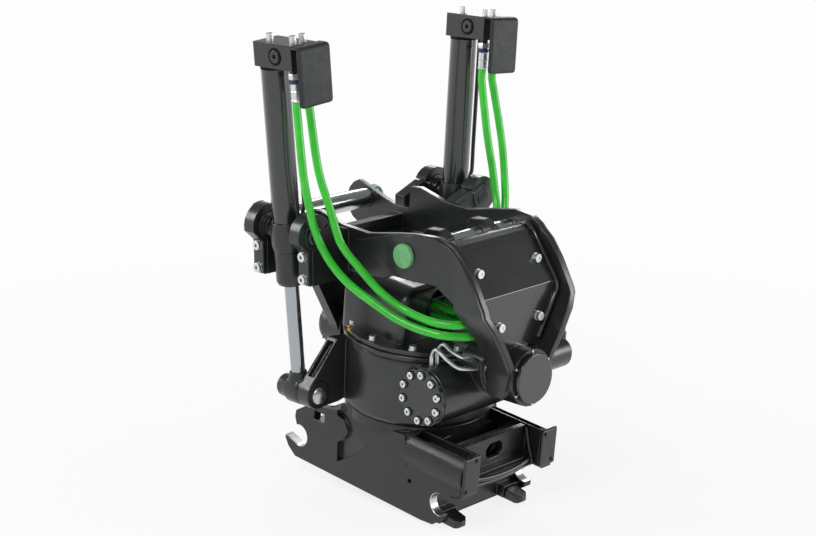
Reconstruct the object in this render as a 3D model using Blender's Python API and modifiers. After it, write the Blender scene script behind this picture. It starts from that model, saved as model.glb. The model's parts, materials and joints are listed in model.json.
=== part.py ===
# Excavator tilt rotator: upper yoke for a two-pin hitch, two tilt cylinders, a worm-driven
# rotor housing that tilts in the yoke, and a quick coupler that turns under it.
# Units are metres, +Z up, +X to the far side, -Y to the front where the tilt cap is.
# The origin is midway between the two hitch pins that hang the unit from the machine.

import math

import bmesh
import bpy
from mathutils import Matrix, Vector

# Driving dimensions: hitch
PIN_SPACING = 0.430
PIN_RADIUS = 0.0225
PIN_HALF_LENGTH = 0.1665
PIN_CAP_RADIUS = 0.025
PIN_CAP_THICKNESS = 0.0035
EAR_INNER = 0.145
EAR_THICKNESS = 0.014
DOUBLER_THICKNESS = 0.007
TUBE_RADIUS = 0.020
TUBE_Y = -0.290
TUBE_Z = -0.008
FIT = 0.0003
RUNNING_FIT = 0.0005

# Driving dimensions: tilt axis, slew axis and its pitch
TILT_Z = -0.252
SLEW_Y = -0.077
COUPLER_Z = -0.504
SLEW_PITCH = math.radians(5.5)

# Driving dimensions: tilt cylinders
TRUNNION_X = 0.2535
TRUNNION_Y = 0.042
TRUNNION_Z = 0.025
LUG_X = 0.2265
LUG_Z = -0.331
BARREL_RADIUS = 0.029
BARREL_BORE = 0.0245
BARREL_TOP = 0.349
ROD_RADIUS = 0.0155
ROD_LENGTH = 0.5215
SLEEVE_RADIUS = 0.0355
GLAND_RADIUS = 0.031
GLAND_BOTTOM = -0.120
HEAD_TOP = 0.400
HEAD_SCREW = 0.016
PORT_X = (-0.014, 0.020)
PORT_Y = -0.074
FERRULE_BOTTOM = 0.284
TRUNNION_PIN_RADIUS = 0.022
TRUNNION_BUSH_RADIUS = 0.029
TRUNNION_SPREAD = 0.070
BRACKET_WIDTH = 0.030
STRAP_THICKNESS = 0.017
EYE_RADIUS = 0.031
EYE_LENGTH = 0.052
EYE_TAIL = 0.024
LUG_THICKNESS = 0.033
LUG_PIN_RADIUS = 0.016

# Driving dimensions: rotor housing and worm drive
HOUSING_RADIUS = 0.168
HOUSING_BOTTOM = 0.130
MANIFOLD_FACE = -0.044
WORM_V = -0.150
WORM_W = 0.221
WORM_HOUSING_RADIUS = 0.062
WORM_BORE = 0.036
WHEEL_TEETH = 60
WHEEL_PITCH_RADIUS = 0.120
WHEEL_WIDTH = 0.020
WHEEL_ROOM = 0.0055
TOOTH_ADDENDUM = 0.0035
TOOTH_DEDENDUM = 0.0045
BEARING_BOTTOM = 0.134
CASTING_FRONT = -0.060
CASTING_REAR = 0.126
FLANGE_SCREWS = 10
FLANGE_CIRCLE = 0.152
HOSE_ARCH_RADIUS = 0.058
HUB_RADIUS = 0.085
COVER_RADIUS = 0.062
MOTOR_END = 0.300

# Places that follow from the housing, the wheel and the worm
CAVITY_RADIUS = WHEEL_PITCH_RADIUS + TOOTH_ADDENDUM + WHEEL_ROOM
CAVITY_TOP = WORM_W + 0.034
HOUSING_TOP = CAVITY_TOP + 0.035
HUB_TOP = CAVITY_TOP - 0.003
BEARING_TOP = WORM_W - WHEEL_WIDTH / 2 - 0.025
CASTING_RADIUS = HOUSING_RADIUS - 0.002
CASTING_HALF = HOUSING_RADIUS - 0.040
CASTING_TOP = HOUSING_TOP + 0.128
HOSE_ARCH_W = HOUSING_TOP + 0.063
WORM_HOUSING_LEFT = -math.sqrt(HOUSING_RADIUS ** 2 - (WORM_V + COVER_RADIUS) ** 2)
WORM_HOUSING_RIGHT = 0.007 - WORM_HOUSING_LEFT
FRONT_PAD_FACE = SLEW_Y - HOUSING_RADIUS - 0.081
REAR_PAD_FACE = SLEW_Y + HOUSING_RADIUS - 0.005

# Driving dimensions: worm cover
COVER_BOLT_CIRCLE = 0.050
COVER_BOLTS = 10

# Driving dimensions: quick coupler
WALL_OUTER = 0.144
WALL_THICKNESS = 0.022
JAW_RADIUS = 0.0245
COUPLER_DECK = 0.1285
SHOULDER_FRONT = -0.272
SHOULDER_INNER = 0.098
PANEL_V = -0.230
LOCK_X = 0.096
LOCK_W = -0.044
LOCK_NOSE = -0.246
LOCK_ROD_RADIUS = 0.008
LOCK_ROD_W = -0.0340
LOCK_WIDTH = 0.035
LOCK_HEIGHT = 0.025
SHOULDER_TOP = 0.124
SHOULDER_REAR = -0.104

# Driving dimensions: tilt bearings and hoses
BOSS_RADIUS = 0.061
FRONT_BOSS = (FRONT_PAD_FACE - 0.089, FRONT_PAD_FACE - 0.019)
REAR_BOSS = (REAR_PAD_FACE + 0.008, REAR_PAD_FACE + 0.072)
JOURNAL_RADIUS = 0.036
BUSH_RADIUS = 0.0415
CAP_RADIUS = 0.053
CAP_THICKNESS = 0.011
HOSE_RADIUS = 0.0085

SIDES = (("left", -1), ("right", 1))
LEAN = math.atan2(TRUNNION_X - LUG_X, TRUNNION_Z - LUG_Z)
REST_LENGTH = math.hypot(TRUNNION_X - LUG_X, TRUNNION_Z - LUG_Z)

MATERIALS = {
    "black_paint": ((0.030, 0.032, 0.034), 0.38, 0.0),
    "cast_black": ((0.040, 0.042, 0.044), 0.50, 0.0),
    "bright_steel": ((0.62, 0.63, 0.64), 0.25, 1.0),
    "zinc": ((0.70, 0.71, 0.72), 0.32, 1.0),
    "bronze": ((0.60, 0.40, 0.18), 0.35, 1.0),
    "brass": ((0.72, 0.52, 0.20), 0.30, 1.0),
    "green_hose": ((0.07, 0.58, 0.05), 0.35, 0.0),
    "pale_green": ((0.25, 0.58, 0.30), 0.45, 0.0),
}


# Scene, collections, frames and materials

def clear_scene():
    for thing in list(bpy.data.objects):
        bpy.data.objects.remove(thing, do_unlink=True)


def make_collection(name):
    group = bpy.data.collections.new(name)
    bpy.context.scene.collection.children.link(group)
    return group


def make_material(name):
    colour, roughness, metallic = MATERIALS[name]
    material = bpy.data.materials.new(name)
    material.use_nodes = True
    shader = material.node_tree.nodes["Principled BSDF"]
    shader.inputs["Base Color"].default_value = (*colour, 1.0)
    shader.inputs["Roughness"].default_value = roughness
    shader.inputs["Metallic"].default_value = metallic
    return material


def make_frame(name, location, pitch=0.0, lean=0.0):
    empty = bpy.data.objects.new(name, None)
    empty.location = location
    empty.rotation_euler = (pitch, lean, 0.0)
    PARTS.objects.link(empty)
    return empty


# Primitive solids

def solid(name, mesh_builder, frame=None, material=None):
    bm = bmesh.new()
    mesh_builder(bm)
    bmesh.ops.recalc_face_normals(bm, faces=bm.faces)
    mesh = bpy.data.meshes.new(name)
    bm.to_mesh(mesh)
    bm.free()
    return register(name, mesh, frame, material)


def register(name, mesh, frame, material):
    thing = bpy.data.objects.new(name, mesh)
    thing.parent = frame
    if material:
        mesh.materials.clear()
        mesh.materials.append(PALETTE[material])
        PARTS.objects.link(thing)
        mesh.shade_smooth()
        mesh.set_sharp_from_angle(angle=math.radians(35))
    else:
        CUTTERS.objects.link(thing)
        thing.hide_render = True
        thing.display_type = "WIRE"
    return thing


def box(name, low, high, frame=None, material=None):
    def build(bm):
        size = [b - a for a, b in zip(low, high)]
        middle = [(a + b) / 2 for a, b in zip(low, high)]
        matrix = Matrix.Translation(middle) @ Matrix.Diagonal((*size, 1.0))
        bmesh.ops.create_cube(bm, size=1.0, matrix=matrix)
    return solid(name, build, frame, material)


def rod(name, radius, start, end, frame=None, material=None, segments=16, end_radius=None):
    def build(bm):
        first, last = Vector(start), Vector(end)
        run = last - first
        turn = run.to_track_quat("Z", "Y").to_matrix().to_4x4()
        matrix = Matrix.Translation((first + last) / 2) @ turn
        bmesh.ops.create_cone(bm, cap_ends=True, segments=segments, radius1=radius,
                              radius2=radius if end_radius is None else end_radius,
                              depth=run.length, matrix=matrix)
    return solid(name, build, frame, material)


def plate(name, outline, low, high, axis="X", frame=None, material=None):
    """Extrude a closed outline from low to high along an axis.

    The outline is (y, z) for axis X and (x, z) for axis Y."""
    def build(bm):
        def point(a, b, c):
            return (c, a, b) if axis == "X" else (a, c, b)
        verts = [bm.verts.new(point(a, b, low)) for a, b in outline]
        face = bm.faces.new(verts)
        grown = bmesh.ops.extrude_face_region(bm, geom=[face])["geom"]
        moved = [v for v in grown if isinstance(v, bmesh.types.BMVert)]
        step = (high - low, 0, 0) if axis == "X" else (0, high - low, 0)
        bmesh.ops.translate(bm, verts=moved, vec=step)
    return solid(name, build, frame, material)


def turned(name, profile, frame=None, material=None, segments=20, axis="Z", centre=(0, 0, 0)):
    """Turn a closed (radius, height) outline about an axis; radius 0 points close on the axis."""
    def build(bm):
        verts = [bm.verts.new((radius, 0, height)) for radius, height in profile]
        closed = profile[0][0] > 0 or profile[-1][0] > 0
        ring = verts + verts[:1] if closed else verts
        edges = [bm.edges.new(pair) for pair in zip(ring, ring[1:])]
        bmesh.ops.spin(bm, geom=verts + edges, axis=(0, 0, 1), cent=(0, 0, 0),
                       steps=segments, angle=2 * math.pi)
        bmesh.ops.remove_doubles(bm, verts=bm.verts, dist=1e-6)
        turn = Matrix.Identity(4)
        if axis == "X":
            turn = Matrix.Rotation(math.pi / 2, 4, "Y")
        if axis == "Y":
            turn = Matrix.Rotation(-math.pi / 2, 4, "X")
        bmesh.ops.transform(bm, matrix=Matrix.Translation(centre) @ turn, verts=bm.verts)
    return solid(name, build, frame, material)


def tube_ring(name, inner, outer, low, high, frame=None, material=None, segments=24,
              axis="Z", centre=(0, 0, 0)):
    profile = [(inner, low), (outer, low), (outer, high), (inner, high)]
    return turned(name, profile, frame, material, segments, axis, centre)


def arc(centre, radius, start, end, steps):
    """Points on an arc, angles in degrees."""
    points = []
    for step in range(steps + 1):
        angle = math.radians(start + (end - start) * step / steps)
        points.append((centre[0] + radius * math.cos(angle), centre[1] + radius * math.sin(angle)))
    return points


# Joining, cutting and rounding

def combine(target, operation, tools):
    for index, tool in enumerate(tools):
        step = target.modifiers.new(f"{operation.lower()} {index}", "BOOLEAN")
        step.operation = operation
        step.object = tool
        step.solver = "EXACT"
    return target


def fuse(target, *tools):
    return combine(target, "UNION", tools)


def cut(target, *tools):
    return combine(target, "DIFFERENCE", tools)


def round_edges(target, width, segments=2, angle=32):
    bevel = target.modifiers.new("rounded edges", "BEVEL")
    bevel.width = width
    bevel.segments = segments
    bevel.limit_method = "ANGLE"
    bevel.angle_limit = math.radians(angle)
    bevel.use_clamp_overlap = True
    return target


def merge_flat_faces(target):
    """Dissolve the splits that Booleans leave in flat faces."""
    merge = target.modifiers.new("merged flat faces", "DECIMATE")
    merge.decimate_type = "DISSOLVE"
    merge.angle_limit = math.radians(0.3)
    return target


def mirrored(outline, sign):
    return [(sign * a, b) for a, b in outline]


# Upper yoke

def side_outline():
    """Ear and horn of one side plate in (y, z), from the rear nose round over the top."""
    nose = arc((0.228, -0.014), 0.053, -90, 75, 8)
    top = [(0.165, 0.009), (0.122, -0.003), (0.080, -0.003), (0.076, 0.046), (0.046, 0.049),
           (-0.025, 0.030), (-0.100, 0.025), (-0.180, 0.039), (-0.235, 0.047), (-0.290, 0.046)]
    front = [(-0.318, 0.034), (-0.349, 0.008), (-0.376, -0.030), (-0.407, -0.087),
             (-0.419, -0.130), (-0.419, -0.180), (-0.414, -0.232), (-0.404, -0.272),
             (-0.385, -0.292)]
    arch = [(-0.355, -0.292), (-0.347, -0.280), (-0.347, -0.232), (-0.355, -0.188),
            (-0.352, -0.150), (-0.3415, -0.128), (-0.333, -0.112), (-0.324, -0.083),
            (-0.297, -0.060), (-0.284, -0.049), (-0.184, -0.046), (-0.150, -0.062),
            (-0.020, -0.066)]
    return nose + top + front + arch


def doubler_outline():
    """Outer reinforcing plate round the front pin, running down the horn."""
    top = [(-0.060, 0.004), (-0.178, 0.036), (-0.235, 0.044), (-0.288, 0.043)]
    front = [(-0.316, 0.031), (-0.346, 0.006), (-0.373, -0.031), (-0.404, -0.088),
             (-0.416, -0.130), (-0.416, -0.180), (-0.411, -0.232), (-0.401, -0.270),
             (-0.384, -0.288)]
    arch = [(-0.358, -0.288), (-0.350, -0.278), (-0.350, -0.232), (-0.358, -0.188),
            (-0.355, -0.150), (-0.3445, -0.128), (-0.336, -0.114), (-0.327, -0.084),
            (-0.299, -0.062), (-0.286, -0.052), (-0.182, -0.049), (-0.148, -0.060),
            (-0.060, -0.060)]
    return top + front + arch


FRONT_BEND = (-0.235, -0.325, 0.022)
HORN_BEND = (-0.100, -0.232, 0.0775)


def inward_shift(y, z):
    """How far a side plate leans inward at a place: first at the nose, then down the horn."""
    start, end, depth = FRONT_BEND
    nose = depth * min(max((start - y) / (start - end), 0.0), 1.0)
    top, bottom, reach = HORN_BEND
    horn = reach * min(max((top - z) / (top - bottom), 0.0), 1.0)
    return nose + horn


def bent_plate(name, outline, inner, outer, sign, material=None):
    thing = plate(name, outline, sign * inner, sign * outer, "X", None, material)
    bm = bmesh.new()
    bm.from_mesh(thing.data)
    lines = [((0, y, 0), (0, 1, 0)) for y in (FRONT_BEND[0], -0.280, FRONT_BEND[1])]
    lines += [((0, 0, z), (0, 0, 1)) for z in (HORN_BEND[0], -0.165, HORN_BEND[1])]
    for place, normal in lines:
        bmesh.ops.bisect_plane(bm, geom=bm.verts[:] + bm.edges[:] + bm.faces[:],
                               dist=1e-6, plane_co=place, plane_no=normal)
    for vert in bm.verts:
        vert.co.x -= sign * inward_shift(vert.co.y, vert.co.z)
    bmesh.ops.triangulate(bm, faces=bm.faces)
    bmesh.ops.recalc_face_normals(bm, faces=bm.faces)
    bm.to_mesh(thing.data)
    bm.free()
    return thing


def bracket_arm_outline(sign):
    """Arm from the ear out to the trunnion seat, in (x, z); the seat itself is bored later."""
    outline = [(EAR_INNER + 0.003, -0.062), (0.190, -0.080), (0.2615, -0.080), (0.2615, 0.010),
               (0.240, 0.030), (0.212, 0.045), (EAR_INNER + 0.003, 0.020)]
    return mirrored(outline, sign)


def make_yoke():
    yoke = bent_plate("yoke_frame", side_outline(), EAR_INNER, EAR_INNER + EAR_THICKNESS, -1,
                      "black_paint")
    ear_outer = EAR_INNER + EAR_THICKNESS + DOUBLER_THICKNESS
    inner = EAR_INNER + EAR_THICKNESS - 0.002
    pieces = [bent_plate("right ear", side_outline(), EAR_INNER, EAR_INNER + EAR_THICKNESS, 1)]
    for side, sign in SIDES:
        pieces.append(bent_plate(f"{side} doubler", doubler_outline(), inner, ear_outer, sign))
    pieces.append(rod("front cross tube", TUBE_RADIUS, (-0.143, TUBE_Y, TUBE_Z),
                      (0.143, TUBE_Y, TUBE_Z)))
    rear_web = [(-0.150, -0.064), (-0.150, -0.020), (0.150, -0.020), (0.150, -0.064),
                (0.062, -0.235), (0.050, -0.275), (-0.050, -0.275), (-0.062, -0.235)]
    pieces.append(plate("rear web", rear_web, REAR_BOSS[0] + 0.006, REAR_BOSS[0] + 0.034, "Y"))
    pieces.append(box("deck", (-0.150, 0.030, -0.066), (0.150, REAR_BOSS[0] + 0.016, -0.054)))
    front, rear = FRONT_BOSS, REAR_BOSS
    pieces.append(rod("front boss", BOSS_RADIUS, (0, front[0], TILT_Z), (0, front[1], TILT_Z),
                      segments=24))
    pieces.append(rod("rear boss", BOSS_RADIUS - 0.004, (0, rear[0], TILT_Z), (0, rear[1], TILT_Z),
                      segments=24))
    for side, sign in SIDES:
        for end in (-1, 1):
            middle = TRUNNION_Y + end * TRUNNION_SPREAD
            pieces.append(plate(f"{side} arm {end}", bracket_arm_outline(sign),
                                middle - BRACKET_WIDTH / 2, middle + BRACKET_WIDTH / 2, "Y"))
    pieces += pin_keepers()
    fuse(yoke, *pieces)
    cutters = [rod("tilt bore", BUSH_RADIUS, (0, -0.5, TILT_Z), (0, 0.3, TILT_Z), segments=24)]
    for side, sign in SIDES:
        cutters.append(trunnion_bore(f"{side} yoke seat", sign))
    for place in (-PIN_SPACING / 2, PIN_SPACING / 2):
        cutters.append(rod(f"pin bore {place}", PIN_RADIUS + FIT, (-0.3, place, 0), (0.3, place, 0),
                           segments=20))
    cut(yoke, *cutters)
    return merge_flat_faces(yoke)


def make_hitch_pins():
    for name, y in (("front_hitch_pin", -PIN_SPACING / 2), ("rear_hitch_pin", PIN_SPACING / 2)):
        pin = rod(name, PIN_RADIUS, (-PIN_HALF_LENGTH, y, 0), (PIN_HALF_LENGTH, y, 0), None,
                  "bright_steel", segments=20)
        caps = []
        for side, sign in SIDES:
            start = sign * (PIN_HALF_LENGTH - 0.0001)
            end = sign * (PIN_HALF_LENGTH + PIN_CAP_THICKNESS)
            caps.append(rod(f"{name} {side} end", PIN_CAP_RADIUS, (start, y, 0), (end, y, 0),
                            segments=20))
        fuse(pin, *caps)


def pin_keepers():
    """Two hooked keepers welded to the cross tube, reaching back over the front pin."""
    y = -PIN_SPACING / 2
    outline = [(-0.284, -0.022), (-0.268, 0.002), (-0.2570, 0.0100), (-0.2555, 0.0260),
               (y - 0.015, 0.040), (y + 0.020, 0.038), (y + 0.032, 0.025), (y + 0.026, 0.010),
               (y, 0.0), (-0.245, -0.016)]
    keepers = []
    for name, x in (("left pin keeper", -0.072), ("right pin keeper", 0.060)):
        keepers.append(plate(name, outline, x - 0.011, x + 0.011, "X"))
    return keepers


COVER_OUTLINE = [(-0.2600, 0.0200), (-0.2700, 0.0265), (-0.2850, 0.0280), (-0.3010, 0.0220),
                 (-0.3160, 0.0100), (-0.3360, -0.0180), (-0.3760, -0.0750), (-0.3775, -0.1200),
                 (-0.3750, -0.2000)]
COVER_THICKNESS = 0.007
COVER_SCREWS = ((0.088, -0.3430, -0.028), (0.060, -0.3765, -0.140))
COVER_ARCH = 0.0065


def cover_section():
    """Closed (y, z) section of the bent front cover sheet."""
    inner = []
    count = len(COVER_OUTLINE)
    for index, (y, z) in enumerate(COVER_OUTLINE):
        before = Vector(COVER_OUTLINE[max(index - 1, 0)])
        after = Vector(COVER_OUTLINE[min(index + 1, count - 1)])
        run = (after - before).normalized()
        inner.append((y - run.y * COVER_THICKNESS, z + run.x * COVER_THICKNESS))
    return COVER_OUTLINE + inner[::-1]


def make_front_cover():
    cover = plate("front_cover", cover_section(), -0.128, 0.128, "X", None, "black_paint")
    bm = bmesh.new()
    bm.from_mesh(cover.data)
    for z in (-0.040, -0.100, -0.140):
        bmesh.ops.bisect_plane(bm, geom=bm.verts[:] + bm.edges[:] + bm.faces[:],
                               dist=1e-6, plane_co=(0, 0, z), plane_no=(0, 0, 1))
    half = 0.128
    for vert in bm.verts:
        inner_face = EAR_INNER - inward_shift(vert.co.y, vert.co.z) - 0.0015
        if vert.co.z < -0.101:
            inner_face -= 0.004
        vert.co.x *= min(inner_face, half) / half
    bmesh.ops.triangulate(bm, faces=bm.faces)
    bm.to_mesh(cover.data)
    bm.free()
    heads = []
    for side, sign in SIDES:
        for x, y, z in COVER_SCREWS:
            heads.append(rod(f"{side} cover bolt {z}", 0.0080, (sign * x, y + 0.006, z),
                             (sign * x, y - 0.007, z), segments=8))
    fuse(cover, *heads)
    cut(cover, rod("boss room", BOSS_RADIUS + COVER_ARCH, (0, FRONT_BOSS[0] - 0.015, TILT_Z),
                   (0, FRONT_BOSS[1] + 0.045, TILT_Z), segments=24))
    cut(cover, rod("cover tube room", TUBE_RADIUS + FIT, (-0.2, TUBE_Y, TUBE_Z),
                   (0.2, TUBE_Y, TUBE_Z)))


# Tilt cylinder brackets

def trunnion_bore(name, sign):
    return rod(name, TRUNNION_BUSH_RADIUS + FIT, (sign * TRUNNION_X, -0.1, TRUNNION_Z),
               (sign * TRUNNION_X, 0.2, TRUNNION_Z), segments=20)


def strap_outline(sign):
    """Clamp cap: bolted leg below, strap over the trunnion above, in (x, z)."""
    outer = TRUNNION_BUSH_RADIUS + STRAP_THICKNESS
    centre = (TRUNNION_X, TRUNNION_Z)
    leg = [(0.2618, 0.010), (0.2618, -0.072), (0.2650, -0.080), (0.2715, -0.078), (0.2735, -0.070),
           (0.2735, -0.0075)]
    over = arc(centre, outer, -12, 150, 10)
    return mirrored(leg + over + [(0.2405, 0.0325)], sign)


def make_brackets():
    for side, sign in SIDES:
        for place, end in (("front", -1), ("rear", 1)):
            middle = TRUNNION_Y + end * TRUNNION_SPREAD
            cap = plate(f"{side}_{place}_trunnion_cap", strap_outline(sign),
                        middle - BRACKET_WIDTH / 2, middle + BRACKET_WIDTH / 2, "Y", None,
                        "black_paint")
            bolts = [rod(f"{side} {place} bolt {z}", 0.0095, (sign * 0.270, middle, z),
                         (sign * 0.2800, middle, z), segments=10) for z in (-0.0175, -0.0655)]
            fuse(cap, *bolts)
            cut(cap, trunnion_bore(f"{side} {place} cap seat", sign))
            pin = turned(f"{side}_{place}_trunnion_pin", trunnion_pin_profile(), None,
                         "bright_steel", 20, "Y", (sign * TRUNNION_X, TRUNNION_Y, TRUNNION_Z))
            if end < 0:
                for vert in pin.data.vertices:
                    vert.co.y = 2 * TRUNNION_Y - vert.co.y
                pin.data.flip_normals()


def trunnion_pin_profile():
    """Stub from the sleeve's flat to the bracket's outer face, with its bush."""
    near = SLEEVE_RADIUS + 0.004 + FIT
    seat = TRUNNION_SPREAD - BRACKET_WIDTH / 2
    far = TRUNNION_SPREAD + BRACKET_WIDTH / 2
    return [(0, near), (TRUNNION_PIN_RADIUS, near), (TRUNNION_PIN_RADIUS, seat - 0.002),
            (TRUNNION_BUSH_RADIUS, seat - 0.002), (TRUNNION_BUSH_RADIUS, far + 0.002),
            (TRUNNION_PIN_RADIUS - 0.004, far + 0.002), (TRUNNION_PIN_RADIUS - 0.006, far + 0.005),
            (0, far + 0.005)]


# Tilt cylinders, built in a frame on the trunnion axis with Z along the barrel

def make_cylinder(side, sign):
    frame = make_frame(f"{side} cylinder axis", (sign * TRUNNION_X, TRUNNION_Y, TRUNNION_Z),
                       0.0, sign * LEAN)
    tube_bottom = -0.0440
    tube_ring(f"{side}_barrel", BARREL_BORE, BARREL_RADIUS, tube_bottom, BARREL_TOP - FIT, frame,
              "black_paint", 20)
    sleeve_profile = [(BARREL_RADIUS + FIT, tube_bottom), (GLAND_RADIUS + 0.001, tube_bottom),
                      (SLEEVE_RADIUS, -0.030), (SLEEVE_RADIUS, -0.006), (0.0325, 0.019),
                      (BARREL_RADIUS + FIT, 0.019)]
    sleeve = turned(f"{side}_trunnion_sleeve", sleeve_profile, frame, "black_paint", 20)
    bosses = []
    for end in (-1, 1):
        bosses.append(rod(f"{side} sleeve boss {end}", TRUNNION_PIN_RADIUS - 0.002,
                          (0, end * 0.0305, -0.006), (0, end * (SLEEVE_RADIUS + 0.004), -0.006),
                          frame, None, 16))
    fuse(sleeve, *bosses)
    gland_profile = [(ROD_RADIUS + FIT, GLAND_BOTTOM), (0.022, GLAND_BOTTOM), (0.028, -0.117),
                     (GLAND_RADIUS, -0.110), (GLAND_RADIUS, tube_bottom - FIT),
                     (BARREL_BORE, tube_bottom - FIT), (BARREL_BORE, -0.056),
                     (ROD_RADIUS + FIT, -0.056)]
    turned(f"{side}_gland", gland_profile, frame, "black_paint", 20)
    make_rod(side, frame)
    make_head(side, frame)
    pipe_path = [(0.0405, -0.012, 0.352), (0.0405, -0.012, 0.10), (0.0410, -0.012, 0.045),
                 (0.0345, -0.010, 0.0225)]
    make_pipe(f"{side}_oil_pipe", pipe_path, 0.0045, frame, "black_paint", 2)


def make_rod(side, frame):
    eye_z = -REST_LENGTH
    top = eye_z + ROD_LENGTH
    piston = BARREL_BORE - FIT
    profile = [(0, eye_z + 0.010), (ROD_RADIUS, eye_z + 0.010), (ROD_RADIUS, top - 0.030),
               (piston, top - 0.030), (piston, top), (0, top)]
    thing = turned(f"{side}_piston_rod", profile, frame, "bright_steel", 20)
    reach = EYE_LENGTH / 2
    tail = reach + EYE_TAIL
    eye_profile = [(0, -tail), (EYE_RADIUS - 0.010, -tail), (EYE_RADIUS - 0.006, -tail + 0.005),
                   (EYE_RADIUS - 0.005, -reach + 0.002), (EYE_RADIUS, -reach + 0.010),
                   (EYE_RADIUS, reach - 0.010), (EYE_RADIUS - 0.002, reach - 0.004),
                   (EYE_RADIUS - 0.005, reach), (0, reach)]
    eye = turned(f"{side}_rod_eye", [(r, -h) for r, h in eye_profile], frame, "black_paint", 20, "Y",
                 (0, 0, eye_z))
    neck = rod(f"{side} eye neck", EYE_RADIUS - 0.004, (0, 0, eye_z + 0.012),
               (0, 0, eye_z + 0.042), frame, None, 16, ROD_RADIUS + 0.003)
    fuse(eye, neck)
    cut(eye, rod(f"{side} rod socket", ROD_RADIUS + FIT, (0, 0, eye_z + 0.0095),
                 (0, 0, eye_z + 0.08), frame, None, 20))
    cut(thing, rod(f"{side} rod pin room", LUG_PIN_RADIUS + 0.004, (0, -0.1, eye_z),
                   (0, 0.1, eye_z), frame, None, 16))
    cut(eye, rod(f"{side} eye bore", LUG_PIN_RADIUS + FIT, (0, -0.1, eye_z), (0, 0.1, eye_z),
                 frame, None, 20))


def make_head(side, frame):
    """Square cylinder head with side plug, top studs and hose ports, and its guard plate."""
    head = box(f"{side}_cylinder_head", (-0.031, -0.087, BARREL_TOP), (0.036, 0.026, HEAD_TOP),
               frame, "black_paint")
    spigot = rod(f"{side} head spigot", BARREL_BORE - FIT, (0, 0, BARREL_TOP - 0.003),
                 (0, 0, BARREL_TOP + 0.01), frame, None, 20)
    plug = rod(f"{side} head plug", 0.0135, (-0.020, -0.038, 0.3745), (-0.0335, -0.038, 0.3745),
               frame, None, 16)
    studs = [rod(f"{side} stud {x}", 0.0062, (x, y, HEAD_TOP - 0.01), (x, y, HEAD_TOP + HEAD_SCREW),
                 frame, None, 10) for x, y in ((-0.012, -0.006), (-0.008, -0.070), (0.018, -0.070))]
    ports = []
    for x in PORT_X:
        ports.append(rod(f"{side} nut {x}", 0.0095, (x, PORT_Y, BARREL_TOP + 0.01),
                         (x, PORT_Y, 0.327), frame, None, 6))
        ports.append(rod(f"{side} ferrule {x}", 0.0088, (x, PORT_Y, 0.332),
                         (x, PORT_Y, FERRULE_BOTTOM), frame, None, 12))
    fuse(head, spigot, plug, *studs, *ports)
    cut(head, rod(f"{side} plug socket", 0.005, (-0.05, -0.038, 0.3745), (-0.027, -0.038, 0.3745),
                  frame, None, 6))
    guard = box(f"{side}_hose_guard", (-0.042, -0.1207, 0.276), (0.049, -0.086, HEAD_TOP + 0.001),
                frame, "black_paint")
    round_corners = guard.modifiers.new("corner radius", "BEVEL")
    round_corners.width = 0.010
    round_corners.segments = 3
    round_corners.limit_method = "ANGLE"
    hollow = box(f"{side} guard hollow", (-0.0385, -0.1165, 0.20), (0.06, -0.05, HEAD_TOP - 0.0035),
                 frame)
    side_cut = box(f"{side} guard side cut", (-0.06, -0.114, 0.20),
                   (-0.0384, -0.05, HEAD_TOP - 0.0035), frame)
    head_room = box(f"{side} guard seat", (-0.0313, -0.0873, 0.30), (0.0363, 0.05, 0.5), frame)
    cut(guard, hollow, side_cut, head_room)


def make_pipe(name, points, radius, frame, material, resolution=2):
    curve = bpy.data.curves.new(name, "CURVE")
    curve.dimensions = "3D"
    curve.bevel_depth = radius
    curve.bevel_resolution = resolution
    curve.use_fill_caps = True
    spline = curve.splines.new("POLY")
    smooth = smooth_path(points)
    spline.points.add(len(smooth) - 1)
    for point, place in zip(spline.points, smooth):
        point.co = (*place, 1.0)
    thing = bpy.data.objects.new(name, curve)
    thing.parent = frame
    curve.materials.append(PALETTE[material])
    PARTS.objects.link(thing)
    return thing


def smooth_path(points, spacing=0.028):
    """Points read from a Catmull-Rom curve through the route's own points."""
    route = [Vector(p) for p in points]
    route = [2 * route[0] - route[1]] + route + [2 * route[-1] - route[-2]]
    result = []
    for before, start, end, after in zip(route, route[1:], route[2:], route[3:]):
        count = max(1, round((end - start).length / spacing))
        for step in range(count):
            t = step / count
            result.append(0.5 * (2 * start + (end - before) * t
                                 + (2 * before - 5 * start + 4 * end - after) * t * t
                                 + (3 * start - before - 3 * end + after) * t ** 3))
    return result + [route[-2]]


# Rotor housing, in the pitched frame on the slew axis

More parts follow.
